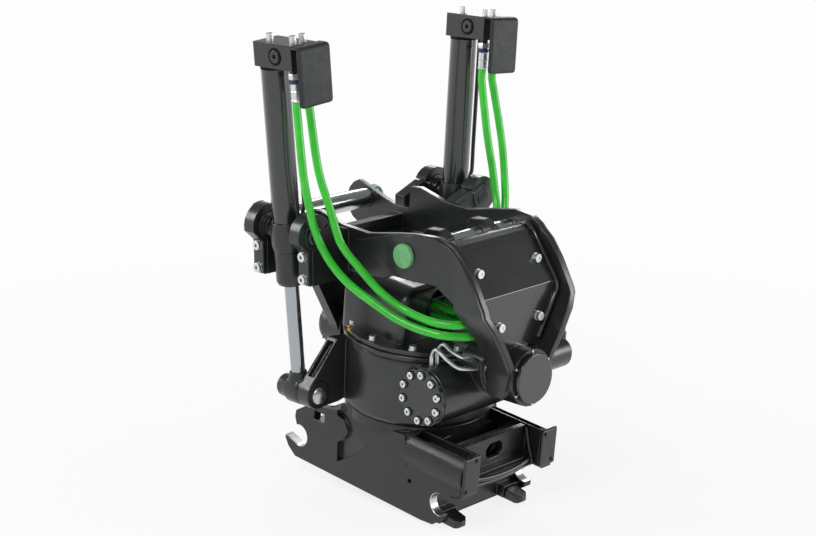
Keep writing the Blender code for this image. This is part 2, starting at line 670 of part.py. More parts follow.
def make_rotor_housing(frame):
    profile = [(0, HOUSING_BOTTOM), (0.160, HOUSING_BOTTOM),
               (HOUSING_RADIUS, HOUSING_BOTTOM + 0.010), (HOUSING_RADIUS, HOUSING_TOP - 0.022),
               (HOUSING_RADIUS - 0.006, HOUSING_TOP - 0.012),
               (HOUSING_RADIUS + 0.003, HOUSING_TOP - 0.010), (HOUSING_RADIUS + 0.003, HOUSING_TOP),
               (0, HOUSING_TOP)]
    housing = turned("rotor_housing", profile, frame, "cast_black", 32)
    pieces = [rod("worm barrel", WORM_HOUSING_RADIUS, (WORM_HOUSING_LEFT, WORM_V, WORM_W),
                  (WORM_HOUSING_RIGHT, WORM_V, WORM_W), frame, None, 24)]
    pieces.append(rod("front pad", 0.056, (0, FRONT_PAD_FACE, TILT_Z), (0, SLEW_Y - 0.148, TILT_Z), None,
                      None, 20))
    pieces.append(rod("rear pad", 0.052, (0, REAR_PAD_FACE, TILT_Z), (0, 0.0, TILT_Z), None, None, 20))
    for side, sign in SIDES:
        lug_back = TRUNNION_Y - EYE_LENGTH / 2 - FIT
        lug_front = lug_back - LUG_THICKNESS
        pieces.append(rod(f"{side} lug ring", EYE_RADIUS, (sign * LUG_X, lug_front, LUG_Z),
                          (sign * LUG_X, lug_back, LUG_Z), None, None, 20))
        root = HOUSING_RADIUS - 0.048
        arm = [(LUG_X + 0.0215, LUG_Z + 0.022), (0.168, -0.219), (root, -0.225), (root, -0.350),
               (0.165, -0.360), (LUG_X - 0.0045, LUG_Z - EYE_RADIUS + 0.0002)]
        pieces.append(plate(f"{side} lug arm", mirrored(arm, sign), lug_front + 0.002,
                            lug_back - 0.002, "Y"))
    fuse(housing, *pieces)
    cutters = [rod("worm bore", WORM_BORE, (-0.2, WORM_V, WORM_W), (0.2, WORM_V, WORM_W), frame,
                   None, 20),
               rod("wheel room", CAVITY_RADIUS, (0, 0, 0.0), (0, 0, CAVITY_TOP), frame, None, 32),
               rod("swivel room", 0.048, (0, 0, 0.2), (0, 0, HOUSING_TOP + 0.1), frame, None, 20),
               rod("casting room", CASTING_RADIUS + FIT, (0, 0, HOUSING_TOP), (0, 0, 0.5), frame,
                   None, 32)]
    for side, sign in SIDES:
        cutters.append(plate(f"{side} lug pocket", mirrored(lug_pocket(), sign), lug_front + 0.0075,
                             lug_back - 0.0075, "Y"))
        cutters.append(rod(f"{side} lug bore", LUG_PIN_RADIUS + FIT, (sign * LUG_X, -0.1, LUG_Z),
                           (sign * LUG_X, 0.1, LUG_Z), None, None, 20))
    cut(housing, *cutters)


def lug_pocket():
    """Section in (x, z) of the pocket sunk in a lug arm's sloping face, between its two rims."""
    top, bottom = Vector((0.168, -0.219)), Vector((LUG_X + 0.0215, LUG_Z + 0.022))
    slope = (bottom - top).normalized()
    outward = Vector((-slope.y, slope.x))
    start, end = top + slope * 0.010, bottom - slope * 0.024
    corners = (start + outward * 0.006, end + outward * 0.006, end - outward * 0.011,
               start - outward * 0.014)
    return [tuple(corner) for corner in corners]


def make_lug_pins():
    start = TRUNNION_Y + EYE_LENGTH / 2 - 0.004
    face = TRUNNION_Y - EYE_LENGTH / 2 - FIT - LUG_THICKNESS - FIT
    profile = [(0, -start), (LUG_PIN_RADIUS, -start), (LUG_PIN_RADIUS, -face), (0.0195, -face),
               (0.0195, -face + 0.004), (0.016, -face + 0.009), (0.009, -face + 0.012),
               (0, -face + 0.013)]
    for side, sign in SIDES:
        pin = turned(f"{side}_lug_pin", [(r, -h) for r, h in profile], None, "bright_steel", 20,
                     "Y", (sign * LUG_X, 0, LUG_Z))
        pin.data.update()


def make_top_casting(frame):
    """Upper casting over the swivel: upright sides, rounded top, open to the front for the hoses."""
    base = HOUSING_TOP + FIT
    half, top, corner = CASTING_HALF, CASTING_TOP, 0.046
    section = [(half, base - 0.030), (half, top - corner)]
    section += arc((half - corner, top - corner), corner, 15, 90, 5)
    section += arc((corner - half, top - corner), corner, 90, 165, 5)
    section += [(-half, top - corner), (-half, base - 0.030)]
    shell = plate("top_casting", section, CASTING_FRONT, CASTING_REAR, "Y", frame, "cast_black")
    round_edges(shell, 0.016, 3, 50)
    flange = rod("casting flange", CASTING_RADIUS, (0, 0, base - 0.020), (0, 0, base + 0.010), frame,
                 None, 32)
    bolts = []
    for index in range(FLANGE_SCREWS):
        angle = 2 * math.pi * (index + 0.5) / FLANGE_SCREWS
        x, v = FLANGE_CIRCLE * math.sin(angle), FLANGE_CIRCLE * math.cos(angle)
        bolts.append(rod(f"casting bolt {index}", 0.0075, (x, v, base + 0.005),
                         (x, v, base + 0.0195), frame, None, 8))
    fuse(shell, flange, *bolts)
    below = box("below casting", (-0.2, -0.2, base - 0.050), (0.2, 0.2, base), frame)
    port = rod("hose arch", HOSE_ARCH_RADIUS, (0, -0.2, HOSE_ARCH_W), (0, 0.030, HOSE_ARCH_W), frame,
               None, 24)
    well = rod("swivel well", 0.042, (0, 0, base - 0.01), (0, 0, base + 0.055), frame, None, 20)
    cut(shell, below, port, well)


def make_swivel(frame):
    """Oil swivel: the body stands in the housing's roof, the core turns with the coupler."""
    body = rod("swivel_body", 0.0415, (0, 0, CAVITY_TOP + 0.005), (0, 0, HOUSING_TOP + 0.050), frame,
               "cast_black", 20)
    collar = rod("swivel collar", 0.0477, (0, 0, CAVITY_TOP + 0.002), (0, 0, HOUSING_TOP), frame, None,
                 20)
    manifold = box("swivel manifold", (-0.034, MANIFOLD_FACE, HOUSING_TOP + 0.040),
                   (0.034, 0.022, HOUSING_TOP + 0.088), frame)
    fuse(body, collar, manifold)
    cut(body, rod("swivel socket", 0.0305, (0, 0, 0.2), (0, 0, HOUSING_TOP + 0.032), frame, None,
                  20))
    rod("swivel_core", 0.030, (0, 0, HUB_TOP + FIT), (0, 0, HOUSING_TOP + 0.030), frame,
        "bright_steel", 20)


def make_worm_drive(frame):
    tooth_space = 2 * math.pi / WHEEL_TEETH
    root = WHEEL_PITCH_RADIUS - TOOTH_DEDENDUM
    tip = WHEEL_PITCH_RADIUS + TOOTH_ADDENDUM
    outline = []
    for index in range(WHEEL_TEETH):
        middle = -math.pi / 2 + tooth_space * (index + 0.5)
        for radius, offset in ((root, -0.30), (tip, -0.16), (tip, 0.16), (root, 0.30)):
            angle = middle + offset * tooth_space
            outline.append((radius * math.cos(angle), radius * math.sin(angle)))
    low, high = WORM_W - WHEEL_WIDTH / 2, WORM_W + WHEEL_WIDTH / 2

    def build(bm):
        face = bm.faces.new([bm.verts.new((x, y, low)) for x, y in outline])
        grown = bmesh.ops.extrude_face_region(bm, geom=[face])["geom"]
        moved = [v for v in grown if isinstance(v, bmesh.types.BMVert)]
        bmesh.ops.translate(bm, verts=moved, vec=(0, 0, high - low))
    wheel = solid("worm_wheel", build, frame, "bronze")
    cut(wheel, rod("wheel bore", HUB_RADIUS + FIT, (0, 0, 0.1), (0, 0, 0.3), frame, None, 32))
    make_worm(frame)
    tube_ring("slew_bearing", HUB_RADIUS + RUNNING_FIT, CAVITY_RADIUS - 0.0006, BEARING_BOTTOM,
              BEARING_TOP, frame, "bright_steel", 32)


def make_worm(frame):
    """Single-start worm: a swept thread on a shaft, with bearing seats at both ends."""
    pitch = 2 * math.pi * WHEEL_PITCH_RADIUS / WHEEL_TEETH
    centre_distance = -WORM_V
    worm_pitch_radius = centre_distance - WHEEL_PITCH_RADIUS
    crest = worm_pitch_radius + TOOTH_ADDENDUM - 0.0005
    root = worm_pitch_radius - TOOTH_ADDENDUM - 0.0005
    turns, steps = 6, 12
    section = ((root - 0.001, -0.0026), (crest, -0.0013), (crest, 0.0013), (root - 0.001, 0.0026))

    def build(bm):
        rings = []
        for step in range(turns * steps + 1):
            angle = 2 * math.pi * step / steps
            along = pitch * (step / steps - turns / 2)
            rings.append([bm.verts.new((along + shift, WORM_V + radius * math.cos(angle),
                                        WORM_W + radius * math.sin(angle)))
                          for radius, shift in section])
        for first, second in zip(rings, rings[1:]):
            for k in range(4):
                bm.faces.new((first[k], first[(k + 1) % 4], second[(k + 1) % 4], second[k]))
        bm.faces.new(rings[0])
        bm.faces.new(rings[-1][::-1])
    thread = solid("worm thread", build, frame)
    seat = 0.018
    profile = [(0, -0.124), (seat, -0.124), (seat, -0.092), (root, -0.092), (root, 0.092),
               (seat, 0.092), (seat, 0.124), (0.010, 0.124), (0.010, 0.146), (0, 0.146)]
    worm = turned("worm_shaft", [(r, h) for r, h in profile], frame, "bright_steel", 20, "X",
                  (0, WORM_V, WORM_W))
    fuse(worm, thread)
    for side, sign in SIDES:
        ends = sorted((sign * 0.0935, sign * 0.1195))
        tube_ring(f"{side}_worm_bearing", seat + FIT, WORM_BORE - FIT, ends[0], ends[1], frame,
                  "bright_steel", 20, "X", (0, WORM_V, WORM_W))


def make_worm_ends(frame):
    face = WORM_HOUSING_LEFT - FIT
    cover = rod("worm_cover", COVER_RADIUS, (face, WORM_V, WORM_W), (face - 0.010, WORM_V, WORM_W),
                frame, "cast_black", 32)
    round_edges(cover, 0.002, 1)
    bolts = []
    scallops = []
    for index in range(COVER_BOLTS):
        angle = 2 * math.pi * index / COVER_BOLTS
        v = WORM_V + COVER_BOLT_CIRCLE * math.sin(angle)
        w = WORM_W + COVER_BOLT_CIRCLE * math.cos(angle)
        bolts.append(rod(f"cover bolt {index}", 0.0062, (face - 0.005, v, w), (face - 0.0165, v, w),
                         frame, None, 10))
        between = angle + math.pi / COVER_BOLTS
        v = WORM_V + (COVER_RADIUS + 0.007) * math.sin(between)
        w = WORM_W + (COVER_RADIUS + 0.007) * math.cos(between)
        scallops.append(rod(f"cover scallop {index}", 0.0105, (face - 0.03, v, w),
                            (face + 0.03, v, w), frame, None, 14))
    cut(cover, *scallops)
    fuse(cover, *bolts)
    start = WORM_HOUSING_RIGHT + FIT
    motor = rod("slew_motor", 0.042, (start, WORM_V, WORM_W), (start + 0.012, WORM_V, WORM_W), frame,
                "cast_black", 20)
    body = rod("motor body", 0.035, (start + 0.010, WORM_V, WORM_W),
               (MOTOR_END - 0.010, WORM_V, WORM_W), frame, None, 20)
    end = rod("motor end", 0.0335, (MOTOR_END - 0.012, WORM_V, WORM_W), (MOTOR_END, WORM_V, WORM_W),
              frame, None, 20, 0.027)
    fittings = []
    for place in (MOTOR_END - 0.041, MOTOR_END - 0.013):
        fittings.append(rod(f"motor port {place}", 0.0125, (place, WORM_V, WORM_W + 0.020),
                            (place, WORM_V, WORM_W + 0.047), frame, None, 12))
        fittings.append(rod(f"motor nut {place}", 0.0105, (place, WORM_V, WORM_W + 0.040),
                            (place, WORM_V, WORM_W + 0.062), frame, None, 6))
    fuse(motor, body, end, *fittings)
    cut(motor, rod("motor socket", 0.0105, (0.1, WORM_V, WORM_W), (0.149, WORM_V, WORM_W), frame,
                   None, 12))


def make_tilt_bearings():
    front, rear = FRONT_BOSS, REAR_BOSS
    for name, inner_end, boss, outward in (
            ("front", FRONT_PAD_FACE - FIT, front, -1), ("rear", REAR_PAD_FACE + FIT, rear, 1)):
        outer = boss[0] if outward < 0 else boss[1]
        inner = boss[1] if outward < 0 else boss[0]
        flange = inner_end + outward * 0.006
        journal = rod(f"{name}_tilt_journal", JOURNAL_RADIUS, (0, inner_end, TILT_Z),
                      (0, outer - outward * 0.004, TILT_Z), None, "bright_steel", 20)
        collar = rod(f"{name} journal flange", 0.0500, (0, inner_end, TILT_Z), (0, flange, TILT_Z),
                     None, None, 20)
        fuse(journal, collar)
        low, high = sorted((outer, inner))
        tube_ring(f"{name}_tilt_bush", JOURNAL_RADIUS + RUNNING_FIT, BUSH_RADIUS - FIT, low + 0.001,
                  high - 0.001, None, "bronze", 24, "Y", (0, 0, TILT_Z))
        face = outer + outward * FIT
        cap = rod(f"{name}_tilt_cap", CAP_RADIUS, (0, face, TILT_Z),
                  (0, face + outward * CAP_THICKNESS, TILT_Z), None, "cast_black", 28)
        round_edges(cap, 0.0025, 2)


def make_grease_nipple(frame):
    x, v, w = -0.158, 0.066, HOUSING_TOP + 0.0103
    nipple = rod("grease_nipple", 0.0048, (x, v, w + FIT), (x, v, w + 0.008), frame, "brass", 6)
    tip = rod("nipple tip", 0.0028, (x, v, w + 0.007), (x, v, w + 0.014), frame, None, 10)
    fuse(nipple, tip)


# Quick coupler, in the pitched frame

def wall_outline():
    """Coupler side wall in (v, w) from the hook's jaw round the bottom to the front saddle."""
    half = PIN_SPACING / 2
    jaw = arc((half, 0), JAW_RADIUS, 62, 292, 12)
    tip = [(0.2525, -0.0145), (0.2590, -0.0115), (0.2625, -0.0190), (0.2500, -0.0380),
           (0.2270, -0.0550)]
    bottom = [(-0.165, -0.0550), (-0.200, -0.0520), (-0.2220, -0.0360), (-0.2220, -0.0245)]
    saddle = arc((-half, 0), JAW_RADIUS, -90, 90, 10)
    front = [(-0.262, 0.0330), (SHOULDER_FRONT, 0.0400), (SHOULDER_FRONT, 0.0500),
             (SHOULDER_REAR - 0.010, 0.0500), (SHOULDER_REAR, SHOULDER_TOP - 0.006),
             (-0.060, 0.1120)]
    rear = [(0.060, 0.1080), (0.119, 0.0970), (0.190, 0.0830), (0.2310, 0.0560), (0.2330, 0.0400)]
    return jaw + tip + bottom + saddle + front + rear


HOOK_POCKET = [(0.094, 0.028), (0.092, -0.018), (0.044, 0.015), (0.002, 0.053), (0.037, 0.067),
               (0.049, 0.093), (0.049, 0.130), (0.100, 0.130), (0.100, 0.092), (0.078, 0.084),
               (0.063, 0.064), (0.074, 0.042)]
POCKET_DEPTH = 0.011
PANEL_HOLE = [(-0.024, 0.084), (-0.015, 0.074), (0.017, 0.074), (0.026, 0.084), (0.026, 0.097),
              (0.017, 0.107), (-0.015, 0.107), (-0.024, 0.097)]


def hook_pocket(side, sign, frame):
    """Cutter of the pocket beside the hook: its floor rises to the wall's face towards the front."""
    low, high = sorted((sign * (WALL_OUTER - POCKET_DEPTH), sign * (WALL_OUTER + 0.020)))
    cutter = plate(f"{side} hook pocket", HOOK_POCKET, low, high, "X", frame)
    deepest = max(v for v, w in HOOK_POCKET)
    for vert in cutter.data.vertices:
        if abs(vert.co.x) < WALL_OUTER:
            depth = POCKET_DEPTH * (0.1 + 0.9 * vert.co.y / deepest)
            vert.co.x = sign * (WALL_OUTER - depth)
    return cutter


def shoulder_section():
    """Section of a front shoulder in (x, w): flat top, then a skin that swells outward."""
    skin = arc((0.1035, 0.0790), 0.0450, 78, -28, 7)
    return [(SHOULDER_INNER, 0.0405), (SHOULDER_INNER, SHOULDER_TOP)] + skin + [
        (WALL_OUTER - 0.001, 0.0400), (WALL_OUTER - 0.001, 0.0300), (WALL_OUTER - 0.030, 0.0300)]


def make_coupler(frame):
    outer, inner = WALL_OUTER, WALL_OUTER - WALL_THICKNESS
    body = plate("coupler_body", wall_outline(), -outer, -inner, "X", frame, "black_paint")
    pieces = [plate("right wall", wall_outline(), inner, outer, "X", frame)]
    edge = inner + 0.003
    deck_low = COUPLER_DECK - 0.024
    pieces.append(rod("deck", 0.158, (0, 0, deck_low), (0, 0, COUPLER_DECK), frame, None, 32))
    pieces.append(rod("slew hub", HUB_RADIUS, (0, 0, deck_low), (0, 0, HUB_TOP), frame, None, 32))
    pieces.append(box("top plate", (-edge, -0.150, 0.082), (edge, 0.110, deck_low + 0.003), frame))
    pieces.append(box("front panel", (-edge, PANEL_V, 0.045), (edge, PANEL_V + 0.014, SHOULDER_TOP - 0.002),
                      frame))
    pieces.append(box("front beam", (-edge, -0.250, 0.034), (edge, -0.130, 0.060), frame))
    pieces.append(box("lock block", (-edge, -0.186, -0.055), (edge, -0.126, 0.040), frame))
    pieces.append(box("rear beam", (-edge, 0.130, -0.048), (edge, 0.184, 0.050), frame))
    pieces.append(box("rear plate", (-edge, 0.096, 0.040), (edge, 0.134, 0.095), frame))
    for side, sign in SIDES:
        pieces.append(plate(f"{side} shoulder", mirrored(shoulder_section(), sign), SHOULDER_FRONT,
                            SHOULDER_REAR, "Y", frame))
        low, high = sorted((sign * (LOCK_X - 0.022), sign * (LOCK_X + 0.030)))
        pieces.append(box(f"{side} lock guide", (low, -0.205, -0.0545), (high, -0.150, -0.0280),
                          frame))
    fuse(body, *pieces)
    cutters = [rod("front pin room", JAW_RADIUS, (-0.3, -PIN_SPACING / 2, 0),
                   (0.3, -PIN_SPACING / 2, 0), frame, None, 20),
               plate("panel hole", PANEL_HOLE, -0.3, -0.200, "Y", frame),
               box("hook window", (-0.3, 0.139, 0.0560), (0.3, 0.172, 0.0760), frame),
               rod("hub recess", 0.029, (0, 0, 0.0), (0, 0, 0.20), frame, None, 20)]
    for side, sign in SIDES:
        half_width = LOCK_WIDTH / 2 + RUNNING_FIT
        low, high = sorted((sign * LOCK_X - half_width, sign * LOCK_X + half_width))
        cutters.append(box(f"{side} lock way", (low, -0.3, LOCK_W - LOCK_HEIGHT / 2 - RUNNING_FIT),
                           (high, 0.0, LOCK_W + LOCK_HEIGHT / 2 + RUNNING_FIT), frame))
        cutters.append(rod(f"{side} drain hole", 0.005, (sign * 0.2, -0.127, 0.020),
                           (sign * 0.1, -0.127, 0.020), frame, None, 12))
        low, high = sorted((sign * (SHOULDER_INNER + 0.006), sign * (WALL_OUTER - 0.017)))
        cutters.append(box(f"{side} shoulder tray", (low, SHOULDER_FRONT + 0.010, SHOULDER_TOP - 0.022),
                           (high, SHOULDER_REAR - 0.014, 0.20), frame))
        cutters.append(hook_pocket(side, sign, frame))
    cut(body, *cutters)
    merge_flat_faces(body)
    for side, sign in SIDES:
        near, far = sorted((sign * (SHOULDER_INNER - 0.001), sign * WALL_OUTER))
        pad = box(f"{side}_end_plate", (near, SHOULDER_FRONT - 0.008, 0.0400),
                  (far, SHOULDER_FRONT - FIT, SHOULDER_TOP), frame, "black_paint")
        round_edges(pad, 0.002, 1)
        heads = [rod(f"{side} pad bolt {w}", 0.0045, (sign * x, SHOULDER_FRONT - 0.005, w),
                     (sign * x, SHOULDER_FRONT - 0.0110, w), frame, None, 10)
                 for x, w in ((0.108, 0.114), (0.134, 0.050))]
        fuse(pad, *heads)


def make_lock(frame):
    """Two wedge bolts on one crosshead, drawn back by the piston rod of the lock cylinder."""
    half = LOCK_X - LOCK_WIDTH / 2 + 0.002
    lock = box("lock_bolts", (-half, -0.095, -0.0510), (half, -0.0753, -0.0180), frame,
               "black_paint")
    bolts = [rod("lock rod", LOCK_ROD_RADIUS, (0, -0.080, LOCK_ROD_W), (0, 0.015, LOCK_ROD_W),
                 frame, None, 16)]
    cutters = []
    low_w, high_w = LOCK_W - LOCK_HEIGHT / 2, LOCK_W + LOCK_HEIGHT / 2
    outline = [(-0.075, low_w), (LOCK_NOSE + 0.006, low_w), (LOCK_NOSE, low_w + 0.004),
               (LOCK_NOSE, high_w - 0.009), (LOCK_NOSE + 0.048, high_w), (-0.075, high_w)]
    for side, sign in SIDES:
        low, high = sorted((sign * (LOCK_X - LOCK_WIDTH / 2), sign * (LOCK_X + LOCK_WIDTH / 2)))
        bolts.append(plate(f"{side} lock bolt", outline, low, high, "X", frame))
        for edge in (low, high):
            cutters.append(rod(f"{side} nose corner {edge}", 0.011, (edge, LOCK_NOSE, -0.1),
                               (edge, LOCK_NOSE, 0.0), frame, None, 4))
    fuse(lock, *bolts)
    cut(lock, *cutters)
    cylinder = rod("lock_cylinder", 0.018, (0, -0.022, LOCK_ROD_W), (0, 0.080, LOCK_ROD_W), frame,
                   "cast_black", 16)
    bracket = box("lock bracket", (-0.030, 0.030, -0.022), (0.030, 0.066, 0.0817), frame)
    fuse(cylinder, bracket)
    cut(cylinder, rod("lock rod bore", LOCK_ROD_RADIUS + FIT, (0, -0.1, LOCK_ROD_W),
                      (0, 0.069, LOCK_ROD_W), frame, None, 16))


# Hoses and steel lines

# Each hose: side, which port of the cylinder head, height at the swivel, free route between
HOSE_ROUTES = {
    "left_outer_hose": (-1, 0, 0.343, [
        (-0.298, -0.060, 0.160), (-0.281, -0.061, 0.080), (-0.263, -0.060, 0.028),
        (-0.252, -0.085, -0.020), (-0.235, -0.120, -0.062), (-0.215, -0.165, -0.095),
        (-0.195, -0.215, -0.125), (-0.175, -0.265, -0.143), (-0.150, -0.310, -0.152),
        (-0.115, -0.332, -0.158), (-0.070, -0.334, -0.161), (-0.036, -0.312, -0.166),
        (-0.022, -0.262, -0.170)]),
    "left_inner_hose": (-1, 1, 0.366, [
        (-0.258, -0.060, 0.170), (-0.250, -0.085, 0.090), (-0.240, -0.105, 0.020),
        (-0.220, -0.130, -0.024), (-0.195, -0.177, -0.080), (-0.172, -0.225, -0.113),
        (-0.158, -0.288, -0.127), (-0.132, -0.326, -0.131), (-0.090, -0.330, -0.133),
        (-0.045, -0.300, -0.138), (-0.024, -0.240, -0.143)]),
    "right_inner_hose": (1, 0, 0.366, [
        (0.257, -0.052, 0.170), (0.257, -0.070, 0.090), (0.250, -0.088, 0.025),
        (0.225, -0.122, -0.022), (0.195, -0.177, -0.080), (0.172, -0.225, -0.113),
        (0.158, -0.288, -0.127), (0.132, -0.326, -0.131), (0.090, -0.330, -0.133),
        (0.045, -0.300, -0.138), (0.024, -0.240, -0.143)]),
    "right_outer_hose": (1, 1, 0.343, [
        (0.300, -0.055, 0.160), (0.297, -0.068, 0.090), (0.286, -0.083, 0.020),
        (0.262, -0.100, -0.030), (0.232, -0.130, -0.068), (0.213, -0.168, -0.097),
        (0.195, -0.215, -0.125), (0.175, -0.265, -0.143), (0.150, -0.310, -0.152),
        (0.115, -0.332, -0.158), (0.070, -0.334, -0.161), (0.036, -0.312, -0.166),
        (0.022, -0.262, -0.170)]),
}

LINE_ROUTES = {
    "upper_steel_line": [
        (-0.104, -0.2475, -0.2357), (-0.105, -0.250, -0.208), (-0.107, -0.268, -0.190),
        (-0.106, -0.290, -0.200), (-0.092, -0.303, -0.212), (-0.0675, -0.306, -0.2194),
        (-0.0510, -0.306, -0.2273)],
    "lower_steel_line": [
        (-0.122, -0.2475, -0.2357), (-0.1225, -0.251, -0.212), (-0.124, -0.266, -0.198),
        (-0.121, -0.290, -0.214), (-0.104, -0.306, -0.232), (-0.0738, -0.315, -0.2386),
        (-0.0558, -0.315, -0.2419)],
}


def head_point(sign, x, height):
    """A place under a cylinder head's port, in world coordinates."""
    turn = Matrix.Rotation(sign * LEAN, 3, "Y")
    return Vector((sign * TRUNNION_X, TRUNNION_Y, TRUNNION_Z)) + turn @ Vector((x, PORT_Y, height))


def rotor_point(x, v, w):
    turn = Matrix.Rotation(SLEW_PITCH, 3, "X")
    return Vector((0, SLEW_Y, COUPLER_Z)) + turn @ Vector((x, v, w))


def make_hoses():
    for name, (sign, port, swivel_w, route) in HOSE_ROUTES.items():
        start = FERRULE_BOTTOM - FIT
        x = PORT_X[port]
        path = [head_point(sign, x, start), head_point(sign, x, start - 0.020)] + route
        path += [rotor_point(sign * 0.020, MANIFOLD_FACE - reach, swivel_w)
                 for reach in (0.045, 0.018, FIT)]
        make_pipe(name, path, HOSE_RADIUS, None, "green_hose", 2)
    for name, route in LINE_ROUTES.items():
        make_pipe(name, route, 0.0045, None, "zinc", 2)


def main():
    make_yoke()
    make_hitch_pins()
    make_front_cover()
    make_brackets()
    for side, sign in SIDES:
        make_cylinder(side, sign)
    rotor = make_frame("slew axis", (0, SLEW_Y, COUPLER_Z), SLEW_PITCH)
    make_rotor_housing(rotor)
    make_lug_pins()
    make_top_casting(rotor)
    make_swivel(rotor)
    make_worm_drive(rotor)
    make_worm_ends(rotor)
    make_tilt_bearings()
    make_grease_nipple(rotor)
    make_coupler(rotor)
    make_lock(rotor)
    make_hoses()


clear_scene()
PARTS = make_collection("tilt rotator")
CUTTERS = make_collection("cutters")
PALETTE = {name: make_material(name) for name in MATERIALS}
main()
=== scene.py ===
# %% [markdown]
# An excavator tilt rotator, dressed for a studio picture. The machined and welded pieces come
# from the frame at their full size. The cells below give them their finishes, and add the small
# things that a fitter would add. Units are metres, +Z is up, and the origin is midway between
# the two hitch pins.

# %% Load the frame
import json
import math

import bmesh
import bpy
from mathutils import Matrix, Vector

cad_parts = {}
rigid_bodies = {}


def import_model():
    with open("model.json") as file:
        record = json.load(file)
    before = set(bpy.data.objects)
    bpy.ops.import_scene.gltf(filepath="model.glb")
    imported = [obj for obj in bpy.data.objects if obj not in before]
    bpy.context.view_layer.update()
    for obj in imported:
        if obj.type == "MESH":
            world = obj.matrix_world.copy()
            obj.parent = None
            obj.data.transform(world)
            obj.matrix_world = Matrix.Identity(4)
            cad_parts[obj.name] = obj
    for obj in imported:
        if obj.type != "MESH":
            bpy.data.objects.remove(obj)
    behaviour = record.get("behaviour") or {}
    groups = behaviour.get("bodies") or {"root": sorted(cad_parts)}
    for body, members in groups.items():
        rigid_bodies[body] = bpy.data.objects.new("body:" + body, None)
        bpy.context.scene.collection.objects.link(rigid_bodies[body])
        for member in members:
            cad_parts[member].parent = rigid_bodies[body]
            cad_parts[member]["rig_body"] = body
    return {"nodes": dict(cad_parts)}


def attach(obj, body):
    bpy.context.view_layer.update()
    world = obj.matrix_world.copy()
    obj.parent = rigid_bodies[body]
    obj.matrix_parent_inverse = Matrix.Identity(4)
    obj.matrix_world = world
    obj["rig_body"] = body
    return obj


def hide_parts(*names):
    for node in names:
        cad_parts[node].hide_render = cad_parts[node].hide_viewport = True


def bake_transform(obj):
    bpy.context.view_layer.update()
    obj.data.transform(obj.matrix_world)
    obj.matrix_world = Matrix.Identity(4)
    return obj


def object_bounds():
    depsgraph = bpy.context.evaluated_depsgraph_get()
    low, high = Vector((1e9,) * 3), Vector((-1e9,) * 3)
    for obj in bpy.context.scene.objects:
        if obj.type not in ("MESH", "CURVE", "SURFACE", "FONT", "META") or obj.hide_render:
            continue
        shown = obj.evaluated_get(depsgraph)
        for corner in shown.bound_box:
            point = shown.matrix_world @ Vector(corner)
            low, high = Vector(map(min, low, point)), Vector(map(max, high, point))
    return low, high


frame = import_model()
CAD_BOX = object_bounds()
NODES = frame["nodes"]
print("pieces in the frame:", len(NODES))

# %% [markdown]
# The camera stands to the front left, about half a metre above the tops of the cylinders, and
# looks slightly down, the way such a unit is photographed in a catalogue. A long lens keeps
# upright lines nearly parallel.

# %% Camera
IMAGE_WIDTH = 816
SENSOR_WIDTH = 36.0
FOCAL_PIXELS = 1850.04
CAMERA_PLACE = (-2.7317, -2.7522, 0.9629)
CAMERA_PITCH = 15.3218
CAMERA_HEADING = -45.4185

camera_data = bpy.data.cameras.new("catalogue camera")
camera_data.sensor_width = SENSOR_WIDTH
camera_data.lens = FOCAL_PIXELS * SENSOR_WIDTH / IMAGE_WIDTH
camera = bpy.data.objects.new("catalogue camera", camera_data)
camera.location = CAMERA_PLACE
camera.rotation_euler = (math.radians(90 - CAMERA_PITCH), 0, math.radians(CAMERA_HEADING))
bpy.context.scene.collection.objects.link(camera)
bpy.context.scene.camera = camera
print("lens", round(camera_data.lens, 2), "mm")

# %% [markdown]
# The slew axis leans forward a little, so the housing, the castings and the coupler are easiest
# to place in a frame of their own: x across, v to the rear and w up the slew axis. Each tilt
# cylinder has such a frame as well, on its trunnions. The hitch pins above and the tool pins
# below are spaced alike.

# %% Places in the leaning frames
SLEW_PLACE = Vector((0, -0.077, -0.504))
SLEW_PITCH = math.radians(5.5)
TRUNNION = Vector((0.2535, 0.042, 0.025))
LUG = Vector((0.2265, 0.042, -0.331))
LEAN = math.atan2(TRUNNION.x - LUG.x, TRUNNION.z - LUG.z)
TILT_Z = -0.252
HALF_SPACING = 0.215
SIDES = (("left", -1), ("right", 1))

ROTOR = Matrix.Translation(SLEW_PLACE) @ Matrix.Rotation(SLEW_PITCH, 4, "X")


def cylinder_frame(sign):
    place = Vector((sign * TRUNNION.x, TRUNNION.y, TRUNNION.z))
    return Matrix.Translation(place) @ Matrix.Rotation(sign * LEAN, 4, "Y")


# %% [markdown]
# Colours are written the way a paint chip is read, as sRGB hex, and one function turns them
# to the linear values that the renderer wants. One more function adds a node with its settings
# and links, so that each finish below reads as a short recipe.

# %% Colour and node helpers
def linear(code):
    channels = [int(code[i:i + 2], 16) / 255 for i in (1, 3, 5)]
    return tuple(c / 12.92 if c < 0.04045 else ((c + 0.055) / 1.055) ** 2.4 for c in channels) + (1.0,)


def add(tree, kind, inputs=None, **settings):
    """Add a node; inputs holds values or sockets, by name or by number."""
    node = tree.nodes.new(kind)
    for key, value in settings.items():
        setattr(node, key, value)
    for key, value in (inputs or {}).items():
        if isinstance(value, bpy.types.NodeSocket):
            tree.links.new(value, node.inputs[key])
        else:
            node.inputs[key].default_value = value
    return node


def new_finish(name, colour, metallic, roughness, **sockets):
    material = bpy.data.materials.new(name)
    material.use_nodes = True
    tree = material.node_tree
    shader = tree.nodes["Principled BSDF"]
    shader.inputs["Base Color"].default_value = linear(colour)
    shader.inputs["Metallic"].default_value = metallic
    shader.inputs["Roughness"].default_value = roughness
    for key, value in sockets.items():
        shader.inputs[key.replace("_", " ")].default_value = value
    material.diffuse_color = linear(colour)
    return material, tree, shader


# A noise of scale 1 has blobs about this many millimetres across
BLOB_SIZE = 500.0


